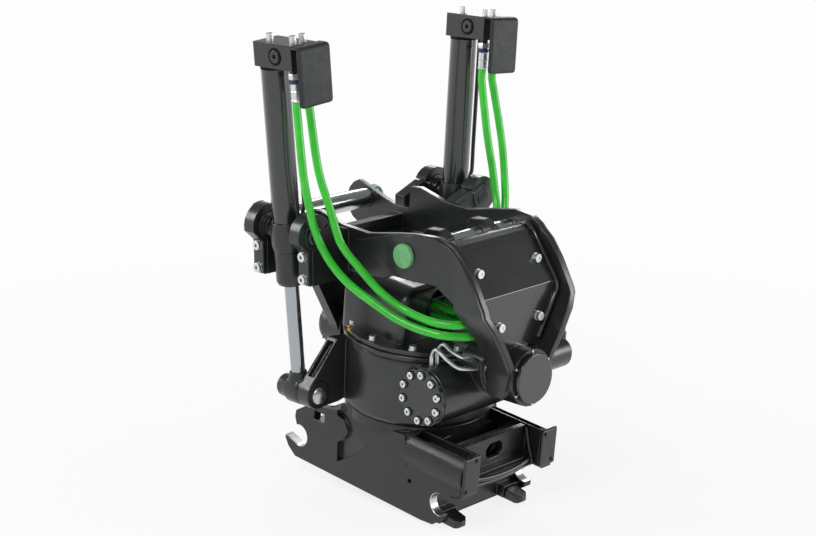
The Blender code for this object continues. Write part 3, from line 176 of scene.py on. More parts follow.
def noise(tree, millimetres, detail=3.0, coordinates=None):
    """Noise whose blobs are about that many millimetres across."""
    source = coordinates or add(tree, "ShaderNodeTexCoord").outputs["Object"]
    return add(tree, "ShaderNodeTexNoise", {"Vector": source, "Scale": BLOB_SIZE / millimetres,
                                            "Detail": detail}).outputs["Fac"]


def spread(tree, socket, low, high, start=0.3, end=0.7):
    """Map the middle of a noise onto a range of values."""
    return add(tree, "ShaderNodeMapRange", {"Value": socket, "From Min": start, "From Max": end,
                                            "To Min": low, "To Max": high}).outputs["Result"]


# A mix node keeps its colour sockets after those for numbers and vectors
FIRST_COLOUR = 6
SECOND_COLOUR = 7
MIXED_COLOUR = 2


def tint(tree, socket, dark, light):
    mix = add(tree, "ShaderNodeMix", {"Factor": socket, FIRST_COLOUR: linear(dark),
                                      SECOND_COLOUR: linear(light)}, data_type="RGBA")
    return mix.outputs[MIXED_COLOUR]


def clouds(tree, millimetres, dark, light):
    """A colour that drifts between two near shades, in soft blobs."""
    return tint(tree, spread(tree, noise(tree, millimetres), 0, 1), dark, light)


def uneven_sheen(tree, shader, millimetres, low, high):
    """Roughness that varies between two values, in soft blobs."""
    level = spread(tree, noise(tree, millimetres), low, high)
    tree.links.new(level, shader.inputs["Roughness"])


def bump(tree, shader, height, depth_mm, strength=1.0):
    relief = add(tree, "ShaderNodeBump", {"Height": height, "Distance": depth_mm / 1000,
                                          "Strength": strength})
    tree.links.new(relief.outputs["Normal"], shader.inputs["Normal"])


# %% [markdown]
# Two-pack black enamel sprayed on laser-cut plate. The eye reads it as a soft sheen with a
# faint orange peel, slightly greyer where the spray went on thin.

# %% Finish: black enamel on plate
def black_enamel():
    material, tree, shader = new_finish("black enamel on welded plate", "#1d2021", 0.0, 0.32,
                                        Coat_Weight=0.2, Coat_Roughness=0.14)
    tree.links.new(clouds(tree, 60, "#1a1c1d", "#222526"), shader.inputs["Base Color"])
    uneven_sheen(tree, shader, 9, 0.27, 0.38)
    bump(tree, shader, noise(tree, 2.5, 2.0), 0.08, 0.35)
    return material


# %% [markdown]
# The bent cover with its edge bars, the bearing caps and the cylinder barrels get the same black
# in a wetter coat. It levels out before it dries, so the eye sees clean, long reflections with
# no orange peel.

# %% Finish: gloss enamel
def gloss_enamel():
    material, tree, shader = new_finish("gloss black enamel", "#1a1c1d", 0.0, 0.26,
                                        Coat_Weight=0.9, Coat_Roughness=0.1)
    tree.links.new(clouds(tree, 80, "#17191a", "#1e2122"), shader.inputs["Base Color"])
    uneven_sheen(tree, shader, 40, 0.24, 0.30)
    return material


# %% [markdown]
# The hose guards are thin sheet, powder coated and baked. The powder melts to a finely
# wrinkled film, which the eye sees as an even grey sheen with no clear reflections.

# %% Finish: powder coat
def powder_coat():
    material, tree, shader = new_finish("black powder coat on sheet steel", "#222526", 0.0, 0.56)
    tree.links.new(clouds(tree, 30, "#1f2223", "#26292a"), shader.inputs["Base Color"])
    uneven_sheen(tree, shader, 6, 0.52, 0.62)
    bump(tree, shader, noise(tree, 1.5, 2.0), 0.05, 0.4)
    return material


# %% [markdown]
# The same black over a sand casting. The mould leaves a fine pebbled skin under the paint, and
# the sheen breaks up into small lights; the pebbles are drawn about twice as coarse as real
# sand so that they show at this distance.

# %% Finish: painted sand casting
def painted_casting():
    material, tree, shader = new_finish("black enamel on sand casting", "#1f2223", 0.0, 0.34,
                                        Coat_Weight=0.35, Coat_Roughness=0.2)
    tree.links.new(clouds(tree, 35, "#1b1d1e", "#252829"), shader.inputs["Base Color"])
    uneven_sheen(tree, shader, 5, 0.28, 0.40)
    bump(tree, shader, noise(tree, 3.0, 4.0), 0.12, 0.45)
    return material


# %% [markdown]
# Bare metals. Turned steel keeps fine tool marks, a hard-chromed rod is a near mirror, zinc
# plate on screws is bright with a slight cloudiness. Metals keep the default refraction index;
# their look is in colour and roughness, and for turned steel in a fine relief as well.

# %% Finish: bare metals
def turned_steel():
    material, tree, shader = new_finish("turned steel", "#b9bbbd", 1.0, 0.28)
    uneven_sheen(tree, shader, 4, 0.22, 0.36)
    place = add(tree, "ShaderNodeTexCoord").outputs["Object"]
    stretched = add(tree, "ShaderNodeMapping", {"Vector": place, "Scale": (6.0, 1.0, 1.0)})
    bump(tree, shader, noise(tree, 2.0, 2.0, stretched.outputs["Vector"]), 0.02, 0.5)
    return material


def ground_steel():
    material, tree, shader = new_finish("ground steel", "#c3c5c8", 1.0, 0.2)
    uneven_sheen(tree, shader, 12, 0.16, 0.26)
    return material


def hard_chrome():
    material, tree, shader = new_finish("hard chrome on ground steel", "#a6abb0", 1.0, 0.10)
    uneven_sheen(tree, shader, 6, 0.07, 0.14)
    return material


def zinc_plate():
    material, tree, shader = new_finish("zinc-plated steel", "#dadcdf", 1.0, 0.38)
    tree.links.new(clouds(tree, 5, "#d0d3d6", "#e4e6e8"), shader.inputs["Base Color"])
    uneven_sheen(tree, shader, 2.0, 0.32, 0.46)
    return material


def cast_bronze():
    material, tree, shader = new_finish("machined bronze", "#b08a50", 1.0, 0.34)
    uneven_sheen(tree, shader, 3, 0.28, 0.42)
    return material


def plain_brass():
    material, tree, shader = new_finish("turned brass", "#c9a24a", 1.0, 0.26)
    uneven_sheen(tree, shader, 2, 0.2, 0.34)
    return material


# %% [markdown]
# The hoses wear a bright green thermoplastic cover. Extrusion leaves it smooth and a little
# waxy, with shallow waves along its length. The ferrule ring is dark blue nylon, seals are black
# rubber, the dark discs under the worm cover screws take that black as painted shade, and the
# hitch pins carry pale green plastic end discs.

# %% Finish: plastics
def hose_cover():
    material, tree, shader = new_finish("extruded green hose cover", "#2ec428", 0.0, 0.34,
                                        Coat_Weight=0.25, Coat_Roughness=0.2)
    tree.links.new(clouds(tree, 22, "#27b424", "#3bd034"), shader.inputs["Base Color"])
    uneven_sheen(tree, shader, 7, 0.28, 0.42)
    bump(tree, shader, noise(tree, 4.0, 2.0), 0.12, 0.5)
    return material


def blue_nylon():
    material, tree, shader = new_finish("moulded blue nylon", "#1f2f6b", 0.0, 0.42)
    uneven_sheen(tree, shader, 2, 0.36, 0.50)
    return material


def black_rubber():
    material, tree, shader = new_finish("moulded black rubber", "#060607", 0.0, 0.62,
                                        Specular_IOR_Level=0.15)
    uneven_sheen(tree, shader, 3, 0.55, 0.70)
    return material


def green_disc():
    material, tree, shader = new_finish("moulded pale green plastic", "#6fb077", 0.0, 0.45)
    tree.links.new(clouds(tree, 9, "#67a86f", "#7ab982"), shader.inputs["Base Color"])
    return material


# %% [markdown]
# The coupler is painted like the yoke, but tool pins have rubbed its jaws bright. How far a
# point lies from a jaw's own line says where the paint is gone: a mask turns the enamel into
# bare steel just inside the jaw, with a soft edge.

# %% Finish: enamel with bare jaws
JAW_LINES = [ROTOR @ Vector((0, v, 0)) for v in (-HALF_SPACING, HALF_SPACING)]
JAW_RADIUS = 0.0245
JAW_FADE = (0.0006, 0.0016)
LIP_START = Vector((0, 0.2242, -0.0227))
LIP_END = Vector((0, 0.2525, -0.0145))
LIP_REACH = 0.021
LIP_FADE = (-0.0014, -0.0006)
LIP_END_FADE = 0.001


def coupler_paint():
    material, tree, shader = new_finish("black enamel with bare steel jaws", "#1d2021", 0.0, 0.32)
    place = add(tree, "ShaderNodeTexCoord").outputs["Object"]
    across = add(tree, "ShaderNodeVectorMath", {0: place, 1: (0, 1, 1)}, operation="MULTIPLY")
    masks = []
    for line in JAW_LINES:
        reach = add(tree, "ShaderNodeVectorMath", {0: across.outputs[0], 1: line},
                    operation="DISTANCE").outputs["Value"]
        edges = [JAW_RADIUS + edge for edge in JAW_FADE]
        masks.append(spread(tree, reach, 1, 0, *edges))
    # The hook's lip is bare too: what lies above the lip's own line and near its middle
    along = (LIP_END - LIP_START).normalized()
    normal = ROTOR.to_3x3() @ Vector((0, -along.z, along.y))
    level = add(tree, "ShaderNodeVectorMath", {0: place, 1: normal}, operation="DOT_PRODUCT")
    line_level = normal.dot(ROTOR @ LIP_START)
    edges = [line_level + edge for edge in LIP_FADE]
    above = spread(tree, level.outputs["Value"], 0, 1, *edges)
    middle = ROTOR @ ((LIP_START + LIP_END) / 2)
    reach = add(tree, "ShaderNodeVectorMath", {0: across.outputs[0], 1: middle},
                operation="DISTANCE").outputs["Value"]
    near = spread(tree, reach, 1, 0, LIP_REACH, LIP_REACH + LIP_END_FADE)
    masks.append(add(tree, "ShaderNodeMath", {0: above, 1: near}, operation="MULTIPLY").outputs[0])
    bare = masks[0]
    for mask in masks[1:]:
        bare = add(tree, "ShaderNodeMath", {0: bare, 1: mask}, operation="MAXIMUM").outputs[0]
    mix = add(tree, "ShaderNodeMix", {"Factor": bare,
                                      FIRST_COLOUR: clouds(tree, 60, "#1a1c1d", "#222526"),
                                      SECOND_COLOUR: linear("#d3d5d7")}, data_type="RGBA")
    tree.links.new(mix.outputs[MIXED_COLOUR], shader.inputs["Base Color"])
    tree.links.new(bare, shader.inputs["Metallic"])
    uneven_sheen(tree, shader, 9, 0.27, 0.38)
    bump(tree, shader, noise(tree, 2.5, 2.0), 0.08, 0.35)
    return material


# %% [markdown]
# One of each finish is made here, and the pieces below ask for it by name, so a change of one
# shows on every piece that wears it.

# %% The finishes by name
FINISH = {
    "coupler_paint": coupler_paint(),
    "black_paint": black_enamel(),
    "gloss_paint": gloss_enamel(),
    "powder_coat": powder_coat(),
    "cast_black": painted_casting(),
    "bright_steel": turned_steel(),
    "ground_steel": ground_steel(),
    "chrome_rod": hard_chrome(),
    "zinc": zinc_plate(),
    "bronze": cast_bronze(),
    "brass": plain_brass(),
    "green_hose": hose_cover(),
    "blue": blue_nylon(),
    "green_disc": green_disc(),
    "rubber": black_rubber(),
}
print("finishes:", ", ".join(sorted(FINISH)))

# %% [markdown]
# Hoses first. Each runs from a port under a cylinder head, down in front of the unit and back
# into the swivel. A hose has a fixed length, so its path is a smooth curve through a few
# chosen points, read finely, and a round section is carried along it.

# %% Sweeping a round section along a path
def smooth_path(points, spacing):
    """Points read from a smooth curve that passes through the route's own points."""
    route = [Vector(p) for p in points]
    route = [2 * route[0] - route[1]] + route + [2 * route[-1] - route[-2]]
    result = []
    for before, start, end, after in zip(route, route[1:], route[2:], route[3:]):
        count = max(1, round((end - start).length / spacing))
        for step in range(count):
            t = step / count
            result.append(0.5 * (2 * start + (end - before) * t
                                 + (2 * before - 5 * start + 4 * end - after) * t * t
                                 + (3 * start - before - 3 * end + after) * t ** 3))
    return result + [route[-2]]


SMOOTH_DEGREES = 40
CRISP_DEGREES = 30


def finish_mesh(name, bm, material, smooth_degrees=SMOOTH_DEGREES):
    bmesh.ops.recalc_face_normals(bm, faces=bm.faces)
    mesh = bpy.data.meshes.new(name)
    bm.to_mesh(mesh)
    bm.free()
    mesh.materials.append(material)
    mesh.shade_smooth()
    mesh.set_sharp_from_angle(angle=math.radians(smooth_degrees))
    thing = bpy.data.objects.new(name, mesh)
    bpy.context.scene.collection.objects.link(thing)
    return thing


def tube(name, path, radius, material, sides=20):
    """A round tube along a path, its section turned as little as possible from point to point."""
    bm = bmesh.new()
    rings = []
    across = None
    for index, place in enumerate(path):
        ahead = path[min(index + 1, len(path) - 1)] - path[max(index - 1, 0)]
        ahead.normalize()
        if across is None:
            across = ahead.orthogonal().normalized()
        across = (across - ahead * across.dot(ahead)).normalized()
        other = ahead.cross(across)
        ring = []
        for side in range(sides):
            angle = 2 * math.pi * side / sides
            ring.append(bm.verts.new(place + radius * (math.cos(angle) * across
                                                       + math.sin(angle) * other)))
        rings.append(ring)
    for first, second in zip(rings, rings[1:]):
        for side in range(sides):
            after = (side + 1) % sides
            bm.faces.new((first[side], first[after], second[after], second[side]))
    bm.faces.new(rings[0][::-1])
    bm.faces.new(rings[-1])
    return finish_mesh(name, bm, material)


# %% [markdown]
# Each hose's route names its side, the port that it leaves, how high it enters the swivel, and
# the points that it passes, chosen along the hose as a fitter would lay it. It leaves the ferrule
# and enters the swivel in a short straight run.

# %% Hose routes
HOSE_RADIUS = 0.0085
PORT_X = (-0.014, 0.020)
PORT_Y = -0.074
PORT_STRAIGHT = 0.020
FERRULE_BOTTOM = 0.284
MANIFOLD_FACE = -0.044
MANIFOLD_X = 0.020
MANIFOLD_STRAIGHT = (0.045, 0.018)
FIT = 0.0003

HOSE_ROUTES = {
    "left_outer_hose": (-1, 0, 0.343, [
        (-0.298, -0.060, 0.160), (-0.281, -0.061, 0.080), (-0.263, -0.060, 0.028),
        (-0.252, -0.085, -0.020), (-0.235, -0.120, -0.062), (-0.215, -0.165, -0.095),
        (-0.195, -0.215, -0.125), (-0.175, -0.265, -0.143), (-0.150, -0.310, -0.152),
        (-0.115, -0.332, -0.158), (-0.070, -0.334, -0.161), (-0.036, -0.312, -0.166),
        (-0.022, -0.262, -0.170)]),
    "left_inner_hose": (-1, 1, 0.366, [
        (-0.258, -0.060, 0.170), (-0.250, -0.085, 0.090), (-0.240, -0.105, 0.020),
        (-0.220, -0.130, -0.024), (-0.195, -0.177, -0.080), (-0.172, -0.225, -0.113),
        (-0.158, -0.288, -0.127), (-0.132, -0.326, -0.131), (-0.090, -0.330, -0.133),
        (-0.045, -0.300, -0.138), (-0.024, -0.240, -0.143)]),
    "right_inner_hose": (1, 0, 0.366, [
        (0.257, -0.052, 0.170), (0.257, -0.070, 0.090), (0.250, -0.088, 0.025),
        (0.225, -0.122, -0.022), (0.195, -0.177, -0.080), (0.172, -0.225, -0.113),
        (0.158, -0.288, -0.127), (0.132, -0.326, -0.131), (0.090, -0.330, -0.133),
        (0.045, -0.300, -0.138), (0.024, -0.240, -0.143)]),
    "right_outer_hose": (1, 1, 0.343, [
        (0.300, -0.055, 0.160), (0.297, -0.068, 0.090), (0.286, -0.083, 0.020),
        (0.262, -0.100, -0.030), (0.232, -0.130, -0.068), (0.213, -0.168, -0.097),
        (0.195, -0.215, -0.125), (0.175, -0.265, -0.143), (0.150, -0.310, -0.152),
        (0.115, -0.332, -0.158), (0.070, -0.334, -0.161), (0.036, -0.312, -0.166),
        (0.022, -0.262, -0.170)]),
}


def hose_path(sign, port, swivel_w, route):
    top = FERRULE_BOTTOM - FIT
    head = cylinder_frame(sign)
    start = [head @ Vector((PORT_X[port], PORT_Y, height)) for height in (top, top - PORT_STRAIGHT)]
    end = [ROTOR @ Vector((sign * MANIFOLD_X, MANIFOLD_FACE - reach, swivel_w))
           for reach in (*MANIFOLD_STRAIGHT, FIT)]
    return start + [Vector(p) for p in route] + end


# %% [markdown]
# When the unit tilts, the end of a hose in the swivel turns with the housing, and its upper run
# stays with the yoke or nearly so. Here each hose is swept once, as it lies at rest.

# %% Making the hoses
COARSE_STEP = 0.028
FINE_STEP = 0.007
for name, (sign, port, swivel_w, route) in HOSE_ROUTES.items():
    coarse = smooth_path(hose_path(sign, port, swivel_w, route), COARSE_STEP)
    path = smooth_path(coarse, FINE_STEP)
    hose = tube(f"{name}_cover", path, HOSE_RADIUS, FINISH["green_hose"])
    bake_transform(hose)
    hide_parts(name)

# %% [markdown]
# A real plate has no razor edges: laser cutting, grinding and paint leave about a millimetre of
# radius, and that thin highlight is most of what makes metal look like metal. So each piece of
# the frame but the hoses and the steel lines is copied, its triangles are merged back into flat
# faces, its sharp edges are bevelled where they show, and the copy stands for the plain piece.

# %% Rounding the edges of a piece
WELD_MM = 0.4
FLAT_DEGREES = 0.5
EDGE_DEGREES = 34
EDGE_SEGMENTS = 2
CREASE_RUN = 0.9
CREASE_FROM = 6
CREASE_TO = 60
CREASE_SEGMENTS = 3


def sharp_copy(node):
    bm = bmesh.new()
    bm.from_mesh(NODES[node].data)
    bmesh.ops.remove_doubles(bm, verts=bm.verts, dist=WELD_MM / 1000)
    bmesh.ops.dissolve_limit(bm, angle_limit=math.radians(FLAT_DEGREES), verts=bm.verts,
                             edges=bm.edges, delimit=set())
    mesh = bpy.data.meshes.new(f"{node} edges")
    bm.to_mesh(mesh)
    bm.free()
    thing = bpy.data.objects.new(f"{node} edges", mesh)
    bpy.context.scene.collection.objects.link(thing)
    return thing


def baked(thing, name):
    """The evaluated object as a plain mesh in a new object; the source is removed."""
    graph = bpy.context.evaluated_depsgraph_get()
    mesh = bpy.data.meshes.new_from_object(thing.evaluated_get(graph))
    mesh.name = name
    result = bpy.data.objects.new(name, mesh)
    bpy.context.scene.collection.objects.link(result)
    bpy.data.objects.remove(thing, do_unlink=True)
    return result


def soften_creases(mesh, width_mm):
    """Round the shallow bends of a folded sheet that run across it, along X."""
    bm = bmesh.new()
    bm.from_mesh(mesh)
    creases = []
    for edge in bm.edges:
        along = (edge.verts[1].co - edge.verts[0].co).normalized()
        bend = math.degrees(edge.calc_face_angle(0.0)) if len(edge.link_faces) == 2 else 0.0
        if abs(along.x) > CREASE_RUN and CREASE_FROM < bend < CREASE_TO:
            creases.append(edge)
    bmesh.ops.bevel(bm, geom=creases, offset=width_mm / 1000, segments=CREASE_SEGMENTS,
                    profile=0.5, affect="EDGES", clamp_overlap=True)
    bm.to_mesh(mesh)
    bm.free()


def rounded(node, finish, width_mm, crease_mm=0.0):
    thing = sharp_copy(node)
    if crease_mm:
        soften_creases(thing.data, crease_mm)
    thing.data.shade_smooth()
    thing.data.set_sharp_from_angle(angle=math.radians(SMOOTH_DEGREES))
    if width_mm:
        bevel = thing.modifiers.new("painted edge", "BEVEL")
        bevel.width = width_mm / 1000
        bevel.segments = EDGE_SEGMENTS
        bevel.limit_method = "ANGLE"
        bevel.angle_limit = math.radians(EDGE_DEGREES)
        bevel.use_clamp_overlap = False
        bevel.miter_outer = "MITER_ARC"
    level = thing.modifiers.new("flat panels", "WEIGHTED_NORMAL")
    level.keep_sharp = True
    piece = baked(thing, f"{node}_skin")
    mesh = piece.data
    mesh.materials.clear()
    mesh.materials.append(FINISH[finish])
    for face in mesh.polygons:
        face.material_index = 0
    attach(piece, NODES[node]["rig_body"])
    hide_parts(node)


# %% [markdown]
# What each piece wears, and how wide its edges are rounded in millimetres: most on the two big
# castings, least on small and thin pieces. The front cover has a second width, for its bends.
# Pieces that are round all over, or shut inside, are only smoothed. Finishes that look much
# alike share a slot.

# %% Which finish each piece takes
ROUNDED = {
    "yoke_frame": ("black_paint", 1.3), "front_cover": ("gloss_paint", 1.2, 5.5),
    "rotor_housing": ("cast_black", 2.0), "top_casting": ("cast_black", 1.6),
    "worm_cover": ("cast_black", 0.8), "slew_motor": ("cast_black", 1.0),
    "coupler_body": ("coupler_paint", 1.5), "lock_bolts": ("black_paint", 1.0),
    "lock_cylinder": ("cast_black", 1.0), "swivel_body": ("cast_black", 1.0),
    "left_end_plate": ("black_paint", 0.8), "right_end_plate": ("black_paint", 0.8),
    "front_tilt_cap": ("gloss_paint", 0.8), "rear_tilt_cap": ("gloss_paint", 0.8),
    "front_hitch_pin": ("ground_steel", 1.0), "rear_hitch_pin": ("ground_steel", 1.0),
    "left_lug_pin": ("bright_steel", 0.8), "right_lug_pin": ("bright_steel", 0.8),
}
for side, sign in SIDES:
    ROUNDED[f"{side}_trunnion_sleeve"] = ("black_paint", 1.0)
    ROUNDED[f"{side}_gland"] = ("black_paint", 0.8)
    ROUNDED[f"{side}_cylinder_head"] = ("black_paint", 1.2)
    ROUNDED[f"{side}_hose_guard"] = ("powder_coat", 0.8)
    ROUNDED[f"{side}_rod_eye"] = ("black_paint", 1.0)
    for place in ("front", "rear"):
        ROUNDED[f"{side}_{place}_trunnion_cap"] = ("black_paint", 1.0)
        ROUNDED[f"{side}_{place}_trunnion_pin"] = ("cast_black", 0.8)

PLAIN = {
    "front_tilt_bush": "bronze", "rear_tilt_bush": "bronze", "front_tilt_journal": "bright_steel",
    "rear_tilt_journal": "bright_steel", "worm_wheel": "bronze", "worm_shaft": "bright_steel",
    "slew_bearing": "bright_steel", "swivel_core": "bright_steel", "grease_nipple": "brass",
    "left_worm_bearing": "bright_steel", "right_worm_bearing": "bright_steel",
    "left_barrel": "gloss_paint", "right_barrel": "gloss_paint",
    "left_oil_pipe": "black_paint", "right_oil_pipe": "black_paint",
    "left_piston_rod": "chrome_rod", "right_piston_rod": "chrome_rod",
}
for node, (finish, *sizes) in ROUNDED.items():
    rounded(node, finish, *sizes)
for node, finish in PLAIN.items():
    rounded(node, finish, 0)
print("rounded", len(ROUNDED), "and smoothed", len(PLAIN))

# %% [markdown]
# Screws repeat all over the unit, so Geometry Nodes place them: a mesh of bare points carries
# where each screw sits and which way it faces, and the tree builds one head and puts it on
# every point. A cap screw is a round head with a hexagon socket; a flat disc is the same recipe
# with no socket, and dark ones under the worm cover screws paint the shade round their heads.

# %% The screw tree
FLARE = 1.6
ROUND_SIDES = 24


def screw_tree():
    tree = bpy.data.node_groups.new("screw heads", "GeometryNodeTree")
    face = tree.interface
    face.new_socket("Geometry", in_out="INPUT", socket_type="NodeSocketGeometry")
    face.new_socket("Sides", in_out="INPUT", socket_type="NodeSocketInt")
    for label in ("Head radius", "Head height", "Crown radius", "Socket radius", "Socket depth",
                  "Washer radius", "Washer thickness"):
        face.new_socket(label, in_out="INPUT", socket_type="NodeSocketFloat")
    face.new_socket("Finish", in_out="INPUT", socket_type="NodeSocketMaterial")
    face.new_socket("Geometry", in_out="OUTPUT", socket_type="NodeSocketGeometry")
    given = tree.nodes.new("NodeGroupInput").outputs

    def maths(operation, first, second):
        return add(tree, "ShaderNodeMath", {0: first, 1: second}, operation=operation).outputs[0]

    def lifted(mesh, height):
        offset = add(tree, "ShaderNodeCombineXYZ", {"Z": height}).outputs[0]
        return add(tree, "GeometryNodeTransform", {"Geometry": mesh,
                                                   "Translation": offset}).outputs[0]

    total = maths("ADD", given["Head height"], given["Washer thickness"])
    prism = add(tree, "GeometryNodeMeshCylinder", {"Vertices": given["Sides"],
                "Radius": given["Head radius"], "Depth": total}).outputs["Mesh"]
    prism = lifted(prism, maths("MULTIPLY", total, 0.5))
    # The cone trims the top edge: it is the crown radius wide at the top and flares below
    flare = maths("MULTIPLY", total, FLARE)
    cone = add(tree, "GeometryNodeMeshCone", {"Vertices": ROUND_SIDES,
               "Radius Top": given["Crown radius"],
               "Radius Bottom": maths("ADD", given["Crown radius"], flare),
               "Depth": total}).outputs["Mesh"]
    head = add(tree, "GeometryNodeMeshBoolean", {"Mesh 2": prism}, operation="INTERSECT",
               solver="EXACT")
    tree.links.new(cone, head.inputs["Mesh 2"])
    socket = add(tree, "GeometryNodeMeshCylinder", {"Vertices": 6,
                 "Radius": given["Socket radius"],
                 "Depth": maths("MULTIPLY", given["Socket depth"], 2.0)}).outputs["Mesh"]
    bored = add(tree, "GeometryNodeMeshBoolean", {"Mesh 1": head.outputs["Mesh"],
                "Mesh 2": lifted(socket, total)}, operation="DIFFERENCE",
                solver="EXACT").outputs["Mesh"]
    has_socket = maths("GREATER_THAN", given["Socket radius"], 0.00001)
    chosen = add(tree, "GeometryNodeSwitch", {"Switch": has_socket, "False": head.outputs["Mesh"],
                 "True": bored}, input_type="GEOMETRY").outputs[0]
    washer = add(tree, "GeometryNodeMeshCylinder", {"Vertices": ROUND_SIDES,
                 "Radius": given["Washer radius"],
                 "Depth": given["Washer thickness"]}).outputs["Mesh"]
    washer = lifted(washer, maths("MULTIPLY", given["Washer thickness"], 0.5))
    joined = add(tree, "GeometryNodeJoinGeometry")
    tree.links.new(chosen, joined.inputs[0])
    tree.links.new(washer, joined.inputs[0])
    axis = add(tree, "GeometryNodeInputNamedAttribute", {"Name": "axis"},
               data_type="FLOAT_VECTOR").outputs["Attribute"]
    turn = add(tree, "FunctionNodeAlignRotationToVector", {"Vector": axis},
               axis="Z").outputs["Rotation"]
    placed = add(tree, "GeometryNodeInstanceOnPoints", {"Points": given["Geometry"],
                 "Instance": joined.outputs[0], "Rotation": turn}).outputs["Instances"]
    real = add(tree, "GeometryNodeRealizeInstances", {"Geometry": placed}).outputs[0]
    dressed = add(tree, "GeometryNodeSetMaterial", {"Geometry": real,
                  "Material": given["Finish"]}).outputs[0]
    out = tree.nodes.new("NodeGroupOutput")
    tree.links.new(dressed, out.inputs[0])
    return tree


SCREWS = screw_tree()
SCREW_COUNT = 0


def screws(name, body, places, size, finish="zinc"):
    """Screws on one body; places are (point, direction) pairs, size the named inputs in mm."""
    global SCREW_COUNT
    mesh = bpy.data.meshes.new(name)
    mesh.from_pydata([tuple(point) for point, direction in places], [], [])
    axes = mesh.attributes.new("axis", "FLOAT_VECTOR", "POINT")
    for entry, (point, direction) in zip(axes.data, places):
        entry.vector = direction
    points = bpy.data.objects.new(f"{name} points", mesh)
    bpy.context.scene.collection.objects.link(points)
    step = points.modifiers.new("screws", "NODES")
    step.node_group = SCREWS
    sockets = {s.name: s.identifier for s in SCREWS.interface.items_tree if s.in_out == "INPUT"}
    for label, value in size.items():
        step[sockets[label]] = value if label == "Sides" else value / 1000
    step[sockets["Finish"]] = FINISH[finish]
    piece = baked(points, name)
    piece.data.shade_smooth()
    piece.data.set_sharp_from_angle(angle=math.radians(CRISP_DEGREES))
    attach(piece, body)
    SCREW_COUNT += len(places)


# A screw without a washer gets one that is too small to leave its head
HIDDEN_RADIUS = 0.1
HIDDEN_THICKNESS = 0.05
CROWN_INSET = 0.7
SOCKET_SHARE = 0.19
SOCKET_DEPTH_SHARE = 0.14


def cap_screw(diameter, height, washer=0.0, thickness=0.0):
    return {"Sides": 20, "Head radius": diameter / 2, "Head height": height,
            "Crown radius": diameter / 2 - CROWN_INSET, "Socket radius": diameter * SOCKET_SHARE,
            "Socket depth": height * SOCKET_DEPTH_SHARE,
            "Washer radius": max(washer / 2, HIDDEN_RADIUS),
            "Washer thickness": max(thickness, HIDDEN_THICKNESS)}


def flat_disc(diameter, height):
    return {"Sides": 24, "Head radius": diameter / 2, "Head height": height,
            "Crown radius": diameter / 2 - 0.2, "Socket radius": 0.0, "Socket depth": 1.0,
            "Washer radius": HIDDEN_RADIUS, "Washer thickness": HIDDEN_THICKNESS}


# %% [markdown]
# Ten zinc-plated screws hold the upper casting to the housing, and ten more hold the cover at
# the end of the worm. Under each of those lies a thin dark disc, painted shade round the head.
# Both sets sit over the plain studs of the frame.

# %% Screws on the rotor
UP = ROTOR.to_3x3() @ Vector((0, 0, 1))
NEAR = ROTOR.to_3x3() @ Vector((-1, 0, 0))
FRONT = Vector((0, -1, 0))
FLANGE_TOP = 0.3005
FLANGE_SCREWS = 10
FLANGE_CIRCLE = 0.152
flange = []
for index in range(FLANGE_SCREWS):
    angle = 2 * math.pi * (index + 0.5) / FLANGE_SCREWS
    place = Vector((FLANGE_CIRCLE * math.sin(angle), FLANGE_CIRCLE * math.cos(angle), FLANGE_TOP))
    flange.append((ROTOR @ place, UP))
screws("casting_screws", "rotor", flange, cap_screw(15.8, 8.6, 19.0, 1.2))

WORM_V = -0.150
WORM_W = 0.221
WORM_FACE = -0.1535
WORM_SCREWS = 10
WORM_CIRCLE = 0.050
worm_ring = []
for index in range(WORM_SCREWS):
    angle = 2 * math.pi * index / WORM_SCREWS
    place = Vector((WORM_FACE, WORM_V + WORM_CIRCLE * math.sin(angle),
                    WORM_W + WORM_CIRCLE * math.cos(angle)))
    worm_ring.append((ROTOR @ place, NEAR))
screws("worm_cover_screws", "rotor", worm_ring, cap_screw(15.4, 7.0))
# Thin discs in the black of rubber under these heads are painted shade round each screw
screws("worm_cover_shade_discs", "rotor", worm_ring, flat_disc(19.4, 0.7), "rubber")

# %% [markdown]
# Two screws clamp each trunnion cap from the side, and three stand on top of each cylinder head,
# two of them above the hose ports.

# %% Screws on the yoke and the cylinders
CAP_FACE = 0.2736
CAP_REACH = 0.070
CAP_LEVELS = (-0.0175, -0.0655)
HEAD_TOP = 0.400
HEAD_STUDS = ((-0.012, -0.006), (-0.008, -0.070), (0.018, -0.070))
cap_heads = []
for side, sign in SIDES:
    for end in (-1, 1):
        for z in CAP_LEVELS:
            cap_heads.append((Vector((sign * CAP_FACE, TRUNNION.y + end * CAP_REACH, z)),
                              Vector((sign, 0, 0))))
screws("trunnion_cap_screws", "upper_frame", cap_heads, cap_screw(20.0, 6.9, 21.0, 0.4))

for side, sign in SIDES:
    head = cylinder_frame(sign)
    up = head.to_3x3() @ Vector((0, 0, 1))
    studs = [(head @ Vector((x, y, HEAD_TOP)), up) for x, y in HEAD_STUDS]
    screws(f"{side}_head_screws", f"{side}_cylinder", studs, cap_screw(15.4, 16.2))

# %% [markdown]
# Four screws hold the front cover. Small ones stand round the rim of each tilt bearing, and a
# painted pair holds each end plate of the coupler.

# %% Screws on the cover and the coupler
COVER_SCREWS = ((0.088, -0.3430, -0.028), (0.060, -0.3765, -0.140))
RIM_SCREWS = 6
RIM_CIRCLE = 0.0566
RIM_FACES = ((-0.4150, FRONT), (0.1580, -FRONT))
PLATE_FACE = -0.2802
PLATE_SCREWS = ((0.108, 0.114), (0.134, 0.050))
cover_heads = []
for side, sign in SIDES:
    for x, y, z in COVER_SCREWS:
        cover_heads.append((Vector((sign * x, y + 0.001, z)), FRONT))
screws("front_cover_screws", "upper_frame", cover_heads, cap_screw(18.6, 9.6, 21.0, 2.0))

